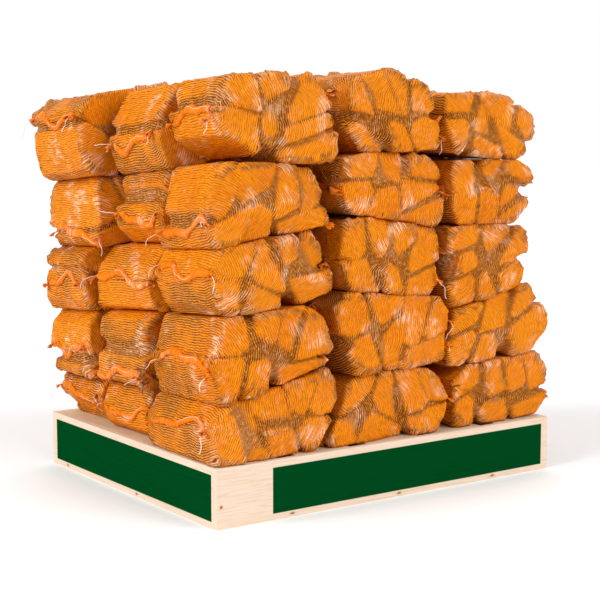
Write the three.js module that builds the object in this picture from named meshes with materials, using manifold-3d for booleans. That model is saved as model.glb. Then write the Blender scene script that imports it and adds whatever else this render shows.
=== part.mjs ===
// A pallet of split beech logs: forty-five net bags of logs, three columns by three rows by
// five layers, on a wooden pallet inside a skirt of four boards.
// Millimetres, +Z up. The origin is on the floor under the middle of the pallet. +X runs along
// the long side and +Y runs away from the long side that faces the viewer.
import * as THREE from 'three';
import { mergeVertices } from 'three/addons/utils/BufferGeometryUtils.js';
import Module from 'manifold-3d';

const wasm = await Module();
wasm.setup();

// Skirt around the pallet
const SKIRT_LENGTH = 1236;
const SKIRT_DEPTH = 986;
const SKIRT_HEIGHT = 167;
const SKIRT_BOARD = 18;
const TOUCH = 0.3;

// Pallet
const DECK_TOP = 167;
const BOARD_THICKNESS = 22;
const DECK_BOARDS = 5;
const DECK_BOARD_WIDTH = 190;
const STRINGERS = 3;
const STRINGER_WIDTH = 45;
const BOTTOM_BOARDS = 3;
const BOTTOM_BOARD_WIDTH = 120;

// Bags: where each column starts and ends along X, where each row ends along Y
const COLUMN_NAMES = ['left', 'middle', 'right'];
const ROW_NAMES = ['front', 'middle', 'back'];
const LAYERS = 5;
const COLUMN_LEFT = [-600, -168, 224];
const COLUMN_RIGHT = [-190, 210, 600];
const STACK_FRONT = -483;
const STACK_BACK = 483;
const ROW_SPLIT = 160;
const ROW_GAP = 12;

// The joints between layers, column by column from the deck up: the height at the column's left
// and right end on the front of the stack, and how far it falls to the back of the stack
const JOINTS = {
  left: [[168, 168, 0], [318, 410, 18], [570, 590, 66], [752, 806, 52], [984, 972, 78], [1210, 1224, 56]],
  middle: [[168, 168, 0], [364, 382, 10], [612, 572, 22], [834, 776, 20], [1000, 1006, 16], [1212, 1196, 20]],
  right: [[168, 168, 0], [352, 378, -8], [522, 604, 10], [786, 778, 8], [980, 972, -6], [1168, 1172, -12]],
};
const TOP_CROWN = 30;

// Outlines of the bags in the front row, layer by layer, as [x, z] corners
const FRONT_OUTLINES = {
  left: [
    [[-612, 168], [-280, 168], [-252, 190], [-206, 280], [-190, 305], [-192, 358], [-218, 402], [-360, 400],
      [-490, 350], [-590, 318], [-628, 250]],
    [[-575, 322], [-360, 380], [-206, 402], [-204, 422], [-236, 532], [-276, 564], [-310, 590], [-510, 580],
      [-590, 562], [-604, 440]],
    [[-572, 570], [-310, 585], [-210, 620], [-226, 734], [-262, 800], [-300, 796], [-500, 768], [-590, 752],
      [-626, 690], [-612, 615]],
    [[-600, 752], [-404, 776], [-222, 806], [-236, 900], [-270, 962], [-442, 980], [-575, 984], [-612, 900],
      [-632, 830]],
    [[-500, 1010], [-372, 972], [-298, 972], [-198, 988], [-184, 1090], [-250, 1214], [-284, 1224],
      [-560, 1212], [-596, 1150], [-584, 1064]],
  ],
  middle: [
    [[-232, 178], [-200, 168], [180, 168], [216, 218], [232, 262], [212, 310], [176, 352], [60, 386],
      [-120, 366], [-162, 345], [-205, 236]],
    [[-146, 366], [60, 374], [205, 384], [212, 414], [226, 500], [226, 530], [190, 574], [-56, 602],
      [-165, 612], [-214, 565], [-184, 436]],
    [[-148, 612], [170, 575], [202, 612], [198, 758], [188, 780], [90, 806], [-40, 834], [-194, 808],
      [-190, 690]],
    [[-140, 830], [-22, 818], [186, 780], [210, 816], [204, 876], [192, 950], [146, 985], [20, 1003],
      [-100, 1003], [-196, 985], [-206, 940], [-174, 858]],
    [[-110, 1002], [100, 1004], [184, 1012], [188, 1056], [154, 1164], [134, 1192], [48, 1218], [0, 1240],
      [-150, 1212], [-172, 1180], [-164, 1078]],
  ],
  right: [
    [[244, 172], [400, 168], [600, 176], [642, 218], [648, 350], [634, 374], [420, 370], [310, 358],
      [240, 310], [250, 262]],
    [[234, 352], [334, 358], [576, 378], [644, 446], [648, 488], [598, 538], [570, 592], [414, 570],
      [252, 530], [228, 420]],
    [[242, 524], [332, 548], [520, 586], [540, 604], [542, 682], [514, 770], [408, 784], [346, 788],
      [216, 774], [222, 610]],
    [[254, 788], [366, 786], [500, 778], [560, 842], [572, 874], [552, 950], [496, 976], [322, 978],
      [236, 974], [216, 930], [228, 830]],
    [[240, 1000], [322, 986], [496, 974], [558, 1014], [566, 1042], [564, 1110], [526, 1132], [462, 1164],
      [380, 1180], [206, 1168], [208, 1056]],
  ],
};

// Where the left end of each left bag lies, layer by layer, for the front, middle and back rows
const LEFT_ENDS = [
  [-628, -604, -626, -632, -596],
  [-604, -622, -618, -588, -600],
  [-608, -632, -645, -624, -688],
];
// Where the right end of each right bag lies, layer by layer
const RIGHT_ENDS = [648, 648, 542, 572, 566];
// Where the rows of the left column part, layer by layer
const LEFT_ROW_SPLITS = [[-112, 196], [-120, 208], [-165, 205], [-190, 132], [-186, 138]];
const END_SCATTER = 14;

// Logs in a bag
const LOGS_IN_BAG = { front: 7, middle: 5, back: 6 };
const LOGS_IN_HIDDEN_BAG = 4;
const LOG_GROWTH = 7;
const CUT_TILT = 0.55;
const ROUND_SHARE = 0.92;
const ROUND_SIDES = 9;
const END_STEP = 24;
const LOG_TAPER = 0.05;
const CELL_CLEARANCE = 0.25;
const PLAIN_CORNER = 2;

const wood = new THREE.MeshStandardMaterial({ color: 0xe9cfa6, roughness: 0.75, metalness: 0 });
const rough_wood = new THREE.MeshStandardMaterial({ color: 0xd9b98a, roughness: 0.85, metalness: 0 });
const net = new THREE.MeshStandardMaterial({ color: 0xe67d1e, roughness: 0.6, metalness: 0 });

// Repeatable random numbers from 0 to 1
function randomFrom(seed) {
  let state = Math.imul(seed + 1, 2654435761) >>> 0;
  const next = () => {
    state = (Math.imul(state, 1664525) + 1013904223) >>> 0;
    return state / 4294967296;
  };
  next();
  next();
  return next;
}

// The part of a convex outline that lies to the left of the line from a to b
function clipLeft(outline, a, b) {
  const side = (p) => (b[0] - a[0]) * (p[1] - a[1]) - (b[1] - a[1]) * (p[0] - a[0]);
  const kept = [];
  outline.forEach((p, i) => {
    const q = outline[(i + 1) % outline.length];
    const sp = side(p);
    const sq = side(q);
    if (sp >= 0) kept.push(p);
    if (sp * sq < 0) {
      const t = sp / (sp - sq);
      kept.push([p[0] + (q[0] - p[0]) * t, p[1] + (q[1] - p[1]) * t]);
    }
  });
  return kept;
}

function areaOf(outline) {
  let twice = 0;
  outline.forEach((p, i) => {
    const q = outline[(i + 1) % outline.length];
    twice += p[0] * q[1] - q[0] * p[1];
  });
  return twice / 2;
}

// The outline with each side moved outwards
function grow(outline, distance) {
  let grown = [[-2000, -2000], [2000, -2000], [2000, 2000], [-2000, 2000]];
  outline.forEach((p, i) => {
    const q = outline[(i + 1) % outline.length];
    const length = Math.hypot(q[0] - p[0], q[1] - p[1]);
    if (length < 0.5) return;
    const nx = (q[1] - p[1]) / length * distance;
    const nz = -(q[0] - p[0]) / length * distance;
    grown = clipLeft(grown, [p[0] + nx, p[1] + nz], [q[0] + nx, q[1] + nz]);
  });
  return grown;
}

// Cut an outline by slanted lines into pieces of about the same area
function split(outline, pieces, random) {
  if (pieces === 1) return [outline];
  const xs = outline.map((p) => p[0]);
  const zs = outline.map((p) => p[1]);
  const width = Math.max(...xs) - Math.min(...xs);
  const height = Math.max(...zs) - Math.min(...zs);
  const tilt = (random() * 2 - 1) * CUT_TILT;
  const angle = (width > height * 1.1 ? Math.PI / 2 : 0) + tilt;
  const direction = [Math.cos(angle), Math.sin(angle)];
  const normal = [-direction[1], direction[0]];
  const first = Math.floor(pieces / 2);
  const share = first / pieces + (random() * 2 - 1) * 0.05;
  const wanted = areaOf(outline) * share;
  const reach = outline.map((p) => p[0] * normal[0] + p[1] * normal[1]);
  let low = Math.min(...reach);
  let high = Math.max(...reach);
  let a;
  let b;
  for (let step = 0; step < 24; step += 1) {
    const at = (low + high) / 2;
    a = [normal[0] * at, normal[1] * at];
    b = [a[0] + direction[0], a[1] + direction[1]];
    if (areaOf(clipLeft(outline, b, a)) < wanted) low = at;
    else high = at;
  }
  const before = split(clipLeft(outline, b, a), first, random);
  const after = split(clipLeft(outline, a, b), pieces - first, random);
  return [...before, ...after];
}

function middleOf(outline) {
  const sum = outline.reduce((total, p) => [total[0] + p[0], total[1] + p[1]], [0, 0]);
  return [sum[0] / outline.length, sum[1] / outline.length];
}

// The outline without the corners that barely stand out from it
function plain(outline) {
  return outline.filter((p, i) => {
    const a = outline[(i + outline.length - 1) % outline.length];
    const b = outline[(i + 1) % outline.length];
    const across = (b[0] - a[0]) * (p[1] - a[1]) - (b[1] - a[1]) * (p[0] - a[0]);
    return Math.abs(across) / Math.hypot(b[0] - a[0], b[1] - a[1]) > PLAIN_CORNER;
  });
}

// The sharpest corner of an outline, which is where the heart of the tree was
function heartOf(outline) {
  let best = outline[0];
  let sharpest = 10;
  outline.forEach((p, i) => {
    const before = outline[(i + outline.length - 1) % outline.length];
    const after = outline[(i + 1) % outline.length];
    const u = [before[0] - p[0], before[1] - p[1]];
    const v = [after[0] - p[0], after[1] - p[1]];
    const cosine = (u[0] * v[0] + u[1] * v[1]) / (Math.hypot(...u) * Math.hypot(...v));
    const corner = Math.acos(Math.min(1, Math.max(-1, cosine)));
    if (corner < sharpest) {
      sharpest = corner;
      best = p;
    }
  });
  return best;
}

// A split log's section: a wedge with its heart at the sharpest corner and a round bark side
function logSection(cell, growth) {
  const heart = heartOf(cell);
  const far = Math.max(...cell.map((p) => Math.hypot(p[0] - heart[0], p[1] - heart[1])));
  const radius = far * ROUND_SHARE + growth;
  let section = grow(cell, growth);
  for (let side = 0; side < ROUND_SIDES; side += 1) {
    const a = side / ROUND_SIDES * Math.PI * 2;
    const b = (side + 1) / ROUND_SIDES * Math.PI * 2;
    section = clipLeft(
      section,
      [heart[0] + Math.cos(a) * radius, heart[1] + Math.sin(a) * radius],
      [heart[0] + Math.cos(b) * radius, heart[1] + Math.sin(b) * radius],
    );
  }
  return section;
}

// The outline of a bag that isn't in the front row, with its corners cut off and its ends rounded
function looseOutline(bag, random) {
  const under = (x) => bag.under(x, bag.front);
  const over = (x) => bag.over(x, bag.front);
  const corner = () => 14 + 40 * random();
  const shoulder = () => (bag.top ? 34 + 50 * random() : corner());
  const left = bag.left + 4 + 10 * random();
  const right = bag.right - 4 - 10 * random();
  const leftBelly = under(left) + (over(left) - under(left)) * (0.35 + 0.25 * random());
  const rightBelly = under(right) + (over(right) - under(right)) * (0.35 + 0.25 * random());
  const [lowerLeft, lowerRight, upperRight, upperLeft] = [corner(), corner(), shoulder(), shoulder()];
  const peak = left + (right - left) * (0.3 + 0.4 * random());
  return [
    [left + lowerLeft, under(left + lowerLeft)],
    [right - lowerRight, under(right - lowerRight)],
    [right, under(right) + corner()],
    [bag.right, rightBelly],
    [right, over(right) - shoulder()],
    [right - upperRight, over(right - upperRight)],
    [peak, over(peak) + (bag.top ? TOP_CROWN * random() : 0)],
    [left + upperLeft, over(left + upperLeft)],
    [left, over(left) - shoulder()],
    [bag.left, leftBelly],
    [left, under(left) + corner()],
  ];
}

// The tightest convex outline around some points
function hullOf(points) {
  const sorted = [...points].sort((p, q) => p[0] - q[0] || p[1] - q[1]);
  const chain = (list) => {
    const kept = [];
    list.forEach((p) => {
      while (kept.length > 1) {
        const [a, b] = kept.slice(-2);
        if ((b[0] - a[0]) * (p[1] - a[1]) - (b[1] - a[1]) * (p[0] - a[0]) > 0) break;
        kept.pop();
      }
      kept.push(p);
    });
    return kept.slice(0, -1);
  };
  return [...chain(sorted), ...chain(sorted.reverse())];
}

// A bag's outline on its front side, kept between the joints under and over it
function bagOutline(bag, random) {
  let outline = hullOf(bag.outline ?? looseOutline(bag, random));
  const ends = [bag.left - 100, bag.right + 100];
  const [low, high] = [bag.under, bag.over].map((joint) => ends.map((x) => [x, joint(x, bag.front)]));
  outline = clipLeft(outline, low[0], low[1]);
  if (!bag.top) outline = clipLeft(outline, high[1], high[0]);
  return outline;
}

function solidFrom(geometry) {
  geometry.deleteAttribute('normal');
  geometry.deleteAttribute('uv');
  const merged = mergeVertices(geometry, 1e-4);
  return new wasm.Manifold(new wasm.Mesh({
    numProp: 3,
    vertProperties: new Float32Array(merged.attributes.position.array),
    triVerts: new Uint32Array(merged.index.array),
  }));
}

function geometryFrom(solid) {
  const mesh = solid.getMesh();
  const geometry = new THREE.BufferGeometry();
  geometry.setAttribute('position', new THREE.BufferAttribute(new Float32Array(mesh.vertProperties), 3));
  geometry.setIndex(new THREE.BufferAttribute(new Uint32Array(mesh.triVerts), 1));
  geometry.computeVertexNormals();
  return geometry;
}

// A log: its section drawn out along the bag from front to back, a little thinner at either
// end. It follows the slope of the joints under and over the bag.
function log(section, front, back, frontScale, backScale, bag) {
  const shape = new THREE.Shape(section.map((p) => new THREE.Vector2(p[0], p[1])));
  const geometry = new THREE.ExtrudeGeometry(shape, { depth: back - front, bevelEnabled: false, steps: 1 });
  geometry.rotateX(Math.PI / 2);
  geometry.translate(0, back, 0);
  const middle = middleOf(section);
  const position = geometry.attributes.position;
  for (let i = 0; i < position.count; i += 1) {
    const y = position.getY(i);
    const scale = y > (front + back) / 2 ? backScale : frontScale;
    const x = middle[0] + (position.getX(i) - middle[0]) * scale;
    const z = middle[1] + (position.getZ(i) - middle[1]) * scale;
    const share = (z - bag.under(x, bag.front)) / (bag.over(x, bag.front) - bag.under(x, bag.front));
    position.setX(i, x);
    position.setZ(i, bag.under(x, y) + share * (bag.over(x, y) - bag.under(x, y)));
  }
  return geometry;
}

// One bag: its logs, pressed together under the net
function bagSolid(bag) {
  const random = randomFrom(bag.seed);
  const outline = bagOutline(bag, random);
  const room = grow(outline, -CELL_CLEARANCE);
  const logs = split(outline, bag.logs, random).map((cell) => {
    const front = bag.front + END_STEP * random();
    const back = bag.back - END_STEP * random();
    const frontScale = 1 - LOG_TAPER * random();
    const backScale = 1 - LOG_TAPER * random();
    let section = logSection(cell, LOG_GROWTH);
    room.forEach((p, i) => {
      section = clipLeft(section, p, room[(i + 1) % room.length]);
    });
    return solidFrom(log(plain(section), front, back, frontScale, backScale, bag));
  });
  return logs.reduce((joined, next) => joined.add(next));
}

// The height of a joint between layers at a place on the stack
function jointHeight(column, level, x, y) {
  const [left, right, fall] = JOINTS[COLUMN_NAMES[column]][level];
  const across = (x - COLUMN_LEFT[column]) / (COLUMN_RIGHT[column] - COLUMN_LEFT[column]);
  const along = (y - STACK_FRONT) / (STACK_BACK - STACK_FRONT);
  return left + (right - left) * across - fall * along;
}

// A bag's place in the stack
function bagPlace(layer, row, column) {
  const seed = layer * 9 + row * 3 + column;
  const random = randomFrom(1000 + seed);
  const scatter = (size) => (random() * 2 - 1) * size;
  const usualSplits = [-ROW_SPLIT, ROW_SPLIT];
  const splits = column === 0 ? LEFT_ROW_SPLITS[layer] : usualSplits;
  const fronts = [STACK_FRONT, splits[0] + ROW_GAP / 2, splits[1] + ROW_GAP / 2];
  const backs = [splits[0] - ROW_GAP / 2, splits[1] - ROW_GAP / 2, STACK_BACK];
  const rightEnd = RIGHT_ENDS[layer] + (row > 0 ? scatter(END_SCATTER) : 0);
  const hidden = row === 1 && column === 1 && layer < LAYERS - 1;
  return {
    name: `bag_layer${layer + 1}_${COLUMN_NAMES[column]}_${ROW_NAMES[row]}`,
    seed,
    outline: row === 0 ? FRONT_OUTLINES[COLUMN_NAMES[column]][layer] : undefined,
    top: layer === LAYERS - 1,
    front: fronts[row],
    back: backs[row],
    left: column === 0 ? LEFT_ENDS[row][layer] : COLUMN_LEFT[column],
    right: column === 2 ? rightEnd : COLUMN_RIGHT[column],
    under: (x, y) => jointHeight(column, layer, x, y),
    over: (x, y) => jointHeight(column, layer + 1, x, y),
    logs: hidden ? LOGS_IN_HIDDEN_BAG : LOGS_IN_BAG[ROW_NAMES[row]],
  };
}

function board(name, material, size, place) {
  const mesh = new THREE.Mesh(new THREE.BoxGeometry(...size), material);
  mesh.name = name;
  mesh.position.set(...place);
  return mesh;
}

// The pallet: boards across the top, three beams along it, boards across the bottom
function pallet() {
  const group = new THREE.Group();
  const length = SKIRT_LENGTH - 2 * SKIRT_BOARD - 2 * TOUCH;
  const depth = SKIRT_DEPTH - 2 * SKIRT_BOARD - 2 * TOUCH;
  for (let i = 0; i < DECK_BOARDS; i += 1) {
    const span = length - DECK_BOARD_WIDTH;
    const x = -span / 2 + i * span / (DECK_BOARDS - 1);
    const size = [DECK_BOARD_WIDTH, depth, BOARD_THICKNESS];
    group.add(board(`deck_board_${i + 1}`, rough_wood, size, [x, 0, DECK_TOP - BOARD_THICKNESS / 2]));
  }
  const beamBottom = BOARD_THICKNESS + TOUCH;
  const beamTop = DECK_TOP - BOARD_THICKNESS - TOUCH;
  for (let i = 0; i < STRINGERS; i += 1) {
    const span = depth - STRINGER_WIDTH;
    const y = -span / 2 + i * span / (STRINGERS - 1);
    const size = [length, STRINGER_WIDTH, beamTop - beamBottom];
    group.add(board(`stringer_${i + 1}`, rough_wood, size, [0, y, (beamBottom + beamTop) / 2]));
  }
  for (let i = 0; i < BOTTOM_BOARDS; i += 1) {
    const span = length - BOTTOM_BOARD_WIDTH;
    const x = -span / 2 + i * span / (BOTTOM_BOARDS - 1);
    const size = [BOTTOM_BOARD_WIDTH, depth, BOARD_THICKNESS];
    group.add(board(`bottom_board_${i + 1}`, rough_wood, size, [x, 0, BOARD_THICKNESS / 2]));
  }
  return group;
}

// The skirt: two long boards, and two short ones between them
function skirt() {
  const group = new THREE.Group();
  const longSize = [SKIRT_LENGTH, SKIRT_BOARD, SKIRT_HEIGHT];
  const longPlace = SKIRT_DEPTH / 2 - SKIRT_BOARD / 2;
  group.add(board('skirt_front', wood, longSize, [0, -longPlace, SKIRT_HEIGHT / 2]));
  group.add(board('skirt_back', wood, longSize, [0, longPlace, SKIRT_HEIGHT / 2]));
  const shortSize = [SKIRT_BOARD, SKIRT_DEPTH - 2 * SKIRT_BOARD - 2 * TOUCH, SKIRT_HEIGHT];
  const shortPlace = SKIRT_LENGTH / 2 - SKIRT_BOARD / 2;
  group.add(board('skirt_left', wood, shortSize, [-shortPlace, 0, SKIRT_HEIGHT / 2]));
  group.add(board('skirt_right', wood, shortSize, [shortPlace, 0, SKIRT_HEIGHT / 2]));
  return group;
}

function bags() {
  const group = new THREE.Group();
  for (let layer = 0; layer < LAYERS; layer += 1) {
    for (let row = 0; row < ROW_NAMES.length; row += 1) {
      for (let column = 0; column < COLUMN_NAMES.length; column += 1) {
        const place = bagPlace(layer, row, column);
        const mesh = new THREE.Mesh(geometryFrom(bagSolid(place)), net);
        mesh.name = place.name;
        group.add(mesh);
      }
    }
  }
  return group;
}

const palletOfLogs = new THREE.Group();
palletOfLogs.add(pallet());
palletOfLogs.add(skirt());
palletOfLogs.add(bags());

export default palletOfLogs;
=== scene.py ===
# The looks of a pallet of split beech logs in orange net bags: the logs, the nets drawn tight
# around them with their seams, tufts and threads, the skirt and the pallet.
import math
from itertools import product
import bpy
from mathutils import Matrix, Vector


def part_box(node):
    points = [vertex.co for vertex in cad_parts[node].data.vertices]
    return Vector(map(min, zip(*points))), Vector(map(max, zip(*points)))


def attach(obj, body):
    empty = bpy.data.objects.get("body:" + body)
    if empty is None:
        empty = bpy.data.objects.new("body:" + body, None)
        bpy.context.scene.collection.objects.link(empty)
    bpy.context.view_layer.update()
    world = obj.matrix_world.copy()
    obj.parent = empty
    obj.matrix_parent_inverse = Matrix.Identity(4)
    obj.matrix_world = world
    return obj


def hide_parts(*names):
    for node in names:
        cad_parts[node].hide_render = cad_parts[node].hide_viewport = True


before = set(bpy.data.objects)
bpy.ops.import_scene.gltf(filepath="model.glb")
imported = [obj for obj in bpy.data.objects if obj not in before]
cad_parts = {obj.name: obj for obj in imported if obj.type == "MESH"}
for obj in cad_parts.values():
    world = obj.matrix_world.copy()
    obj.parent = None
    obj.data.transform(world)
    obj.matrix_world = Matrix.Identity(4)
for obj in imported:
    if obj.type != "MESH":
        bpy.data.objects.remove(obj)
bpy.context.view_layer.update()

from types import SimpleNamespace

import bmesh
import bpy
import numpy as np

# Lengths are millimetres up to the point where a mesh is written, in metres.
MM = 0.001

# The stack, with the same places as its solids
COLUMN_NAMES = ["left", "middle", "right"]
ROW_NAMES = ["front", "middle", "back"]
LAYERS = 5
COLUMN_LEFT = [-600, -168, 224]
COLUMN_RIGHT = [-190, 210, 600]
STACK_FRONT = -483
STACK_BACK = 483
ROW_SPLIT = 160
ROW_GAP = 12
# The joints between layers from the deck up: their height at a column's left and right end on
# the front of the stack, and how far they fall to its back
JOINTS = {
    "left": [(168, 168, 0), (318, 410, 18), (570, 590, 66),
             (752, 806, 52), (984, 972, 78), (1210, 1224, 56)],
    "middle": [(168, 168, 0), (364, 382, 10), (612, 572, 22),
               (834, 776, 20), (1000, 1006, 16), (1212, 1196, 20)],
    "right": [(168, 168, 0), (352, 378, -8), (522, 604, 10),
              (786, 778, 8), (980, 972, -6), (1168, 1172, -12)],
}
TOP_CROWN = 30
# Outlines of the bags in the front row, layer by layer
FRONT_OUTLINES = {
    "left": [
        [(-612, 168), (-280, 168), (-252, 190), (-206, 280), (-190, 305), (-192, 358),
         (-218, 402), (-360, 400), (-490, 350), (-590, 318), (-628, 250)],
        [(-575, 322), (-360, 380), (-206, 402), (-204, 422), (-236, 532), (-276, 564),
         (-310, 590), (-510, 580), (-590, 562), (-604, 440)],
        [(-572, 570), (-310, 585), (-210, 620), (-226, 734), (-262, 800), (-300, 796),
         (-500, 768), (-590, 752), (-626, 690), (-612, 615)],
        [(-600, 752), (-404, 776), (-222, 806), (-236, 900), (-270, 962), (-442, 980),
         (-575, 984), (-612, 900), (-632, 830)],
        [(-500, 1010), (-372, 972), (-298, 972), (-198, 988), (-184, 1090), (-250, 1214),
         (-284, 1224), (-560, 1212), (-596, 1150), (-584, 1064)],
    ],
    "middle": [
        [(-232, 178), (-200, 168), (180, 168), (216, 218), (232, 262), (212, 310), (176, 352),
         (60, 386), (-120, 366), (-162, 345), (-205, 236)],
        [(-146, 366), (60, 374), (205, 384), (212, 414), (226, 500), (226, 530), (190, 574),
         (-56, 602), (-165, 612), (-214, 565), (-184, 436)],
        [(-148, 612), (170, 575), (202, 612), (198, 758), (188, 780), (90, 806), (-40, 834),
         (-194, 808), (-190, 690)],
        [(-140, 830), (-22, 818), (186, 780), (210, 816), (204, 876), (192, 950), (146, 985),
         (20, 1003), (-100, 1003), (-196, 985), (-206, 940), (-174, 858)],
        [(-110, 1002), (100, 1004), (184, 1012), (188, 1056), (154, 1164), (134, 1192),
         (48, 1218), (0, 1240), (-150, 1212), (-172, 1180), (-164, 1078)],
    ],
    "right": [
        [(244, 172), (400, 168), (600, 176), (642, 218), (648, 350), (634, 374), (420, 370),
         (310, 358), (240, 310), (250, 262)],
        [(234, 352), (334, 358), (576, 378), (644, 446), (648, 488), (598, 538), (570, 592),
         (414, 570), (252, 530), (228, 420)],
        [(242, 524), (332, 548), (520, 586), (540, 604), (542, 682), (514, 770), (408, 784),
         (346, 788), (216, 774), (222, 610)],
        [(254, 788), (366, 786), (500, 778), (560, 842), (572, 874), (552, 950), (496, 976),
         (322, 978), (236, 974), (216, 930), (228, 830)],
        [(240, 1000), (322, 986), (496, 974), (558, 1014), (566, 1042), (564, 1110),
         (526, 1132), (462, 1164), (380, 1180), (206, 1168), (208, 1056)],
    ],
}

# The bags' ends, row by row on the left and layer by layer on the right, and the y at which the
# left column's rows meet
LEFT_ENDS = [[-628, -604, -626, -632, -596], [-604, -622, -618, -588, -600], [-608, -632, -645, -624, -688]]
RIGHT_ENDS = [648, 648, 542, 572, 566]
LEFT_ROW_SPLITS = [(-112, 196), (-120, 208), (-165, 205), (-190, 132), (-186, 138)]
END_SCATTER = 14
# Bags behind the front row, each number as its least value and its spread: how far their sides
# stay in, the size of their cut corners, and the heights and place of their widest points
SIDE_SET_IN = (4, 10)
CORNER_LEG = (14, 40)
TOP_CORNER_LEG = (34, 50)
BELLY_SHARE = (0.35, 0.25)
PEAK_SHARE = (0.3, 0.4)
LOGS_IN_BAG = {"front": 7, "middle": 5, "back": 6}
LOGS_IN_HIDDEN_BAG = 4

# How a bag's outline is split into logs: the slant of the cuts in radians, how uneven the shares
# are, and how far the logs' ends stay in and vary
CUT_TILT = 0.55
SHARE_SPREAD = 0.05
CUT_ROUNDS = 24
END_GAP = 2
END_STEP = 24
END_SET_BACK = 14
LOG_TAPER = 0.05

# How far the sides of a log are set in where they are on the bag's outline and between logs
OUTER_INSET = 2.6
OUTER_SPREAD = 12.0
OUTER_LEAN = 0.14
INNER_INSET = 4.0
INNER_SPREAD = 17.0

# A split log's form. A side or a gap that is shorter than TOUCH counts as none.
TOUCH = 0.5
SHORTEST_SIDE = 1
LEAST_AREA = 400
CORNER_LOSS = 0.6
CORNER_DEPTH = 24
SKEW_ACROSS = 0.035
SKEW_UP = 0.008
LEAST_ROUND_SHARE = 0.75
OUTER_ROUND_SHARE = 0.955
BARK_REACH = 0.70
HALF_TRUNKS = 0.4
ARC_SIDES = 30
CORNER_CUT = 3.5
END_CUT = 3.0
SIDE_STEP = 15
RING_STEP = 48
END_TILT = 0.20
# How deep a log's sides wave, and how fast the two waves run round it
BARK_RIPPLE = 0.5
SPLIT_RIPPLE = 1.6
SLOW_WAVE = 0.055
FAST_WAVE = 0.13
SHARP_EDGE = 38

# The places of the logs' materials
SPLIT_SLOT = 0
BARK_SLOT = 1
END_SLOT = 2

# The net's cells, and how it is drawn tight and kept off the logs. A clearance below nothing lets
# the nets of bags that lie on each other press together.
NET_OFF_LOGS = 2.4
NET_OFF_ENDS = 4
LONGEST_PUSH = 60
LEAST_FACING = 0.25
COARSE_CELL = {"near": 17.0, "far": 23.0, "hidden": 30.0}
COARSE_ROUNDS = 90
FINE_ROUNDS = 44
PULL = 0.7
SAG = 0.11
JOINT_CLEARANCE = -1.2
EDGE_CLEARANCE = -0.6
EDGE_ROUNDS = 8
EDGE_LIFT = 0.8
EDGE_SPOTS = [(0, 0), (0, 0.5), (0.5, 0), (0.5, 0.5),
              (0.25, 0.25), (0.75, 0.25), (0.25, 0.75), (0.75, 0.75)]
LONGEST_LIFT = 9
HIGHEST_CREST = 0.8
CREST_ROUNDS = 4
LENGTH_ROUNDS = 6
THINNEST = 1e-6

# The neck: its place along the bag's depth as a least share and a spread, and how far it is up or
# down from the middle
NECK_DEPTH = (0.12, 0.3)
NECK_SWING = 20
NECK_RISE = 0.4

# The seam: its swing, and its profile as shares of its width and heights over the net
SEAM_SWING = 26
SEAM_PROFILE = [(-0.5, 0.2), (-0.48, 4.0), (-0.2, 7.2), (0.15, 7.0),
                (0.4, 4.2), (0.5, 1.8), (0.48, 0.2), (0.0, -0.8)]
SEAM_CREST = 3
SEAM_CREASE = 0.2
SEAM_WIDTH = (21, 9)
SEAM_UNEVEN_WIDTH = 0.22
SEAM_UNEVEN_HEIGHT = 0.35
# The share of the seam before its stitches, and the share that they run over
STITCH_START = 0.4
STITCH_RUN = (0.25, 0.3)

# How many folds run out of the neck, the seam and its front corner, and how many lie anywhere
NECK_FOLDS = 12
SEAM_FOLDS = 9
CORNER_FOLDS = 4
OTHER_FOLDS = 8
# A fold's length, width and height, and the turn from straight that its place allows
FOLD_REACH = (8, 16)
FOLD_WIDTH = (1.0, 0.8)
FOLD_HEIGHT = (2.5, 2.5)
NECK_FOLD_TURN = 0.7
SEAM_FOLD_TURN = 1.6
CORNER_FOLD_TURN = 2.4
# Pleats in cells from one to the next, their heights at the neck and the corner and their reach
PLEAT_PITCH = 4.2
NECK_PLEAT = 5.0
CORNER_PLEAT = 3.5
PLEAT_REACH = 60
TENSION_HEIGHT = 3.5

# The tufts at the seam's ends and at the neck: their lengths, the radius they start with and the
# one they open to, and the waves around them
SEAM_TUFT = ((12, 14), 3.5, (9, 5))
NECK_TUFT = ((18, 12), 5.0, (14, 5))
TUFT_FLATNESS = (0.35, 0.35)
TUFT_RINGS = 8
TUFT_TURNS = 30
TUFT_WAVES = (2, 3, 5, 7)

# The threads: their radius in the stitches and in the loose tails, and how often a tail hangs
# out, how long it is and how it curls
THREAD_SIDES = 5
STITCH_RADIUS = 0.55
TAIL_RADIUS = 0.9
TAIL_SHARE = 0.75
TAIL_LENGTH = (38, 40)
TAIL_STEPS = 12
TAIL_DROOP = 0.25
TAIL_CURL = 0.42

# The way round a cell of a seam or thread and of a tuft, as steps down and across its grid
SEAM_TURN = [(0, 0), (1, 0), (1, 1), (0, 1)]
TUFT_TURN = [(0, 0), (0, 1), (1, 1), (1, 0)]

# The size on the cloth of such cells, in metres
CLOTH_STEP = 0.004
SEAM_STEP = 0.004
TUFT_STEP = 0.003

# The pitch of the net's rows and stitches in metres, and how much it hides where it is most open
NET_ROW = 0.0072
NET_STITCH = 0.0060
LEAST_COVER = 0.4

# The skirt in metres: how far its painted panels stay from a board's ends, top and bottom, how
# deep the paint goes in and how soft its edge is, and its knots as places and half sizes
PANEL_SIDE = 0.027
PANEL_TOP = 0.020
PANEL_BOTTOM = 0.018
BARE_END = 0.182
PAINT_DEPTH = 0.004
PAINT_BLUR = 0.0006
KNOT_HEIGHT = PANEL_BOTTOM * 0.55
FRONT_KNOT = (0.010, 0.02, 0.004)
SIDE_KNOT = (0.02, 0.009, 0.004)
CORNER_KNOT = (0.006, 0.02, 0.006)
CORNER_KNOT_IN = 0.014
CORNER_KNOT_UP = 0.062
# Where the knots are along the front and left boards, as shares
FRONT_KNOTS = (0.20, 0.51, 0.81)
SIDE_KNOTS = (0.445, 0.897)

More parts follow.
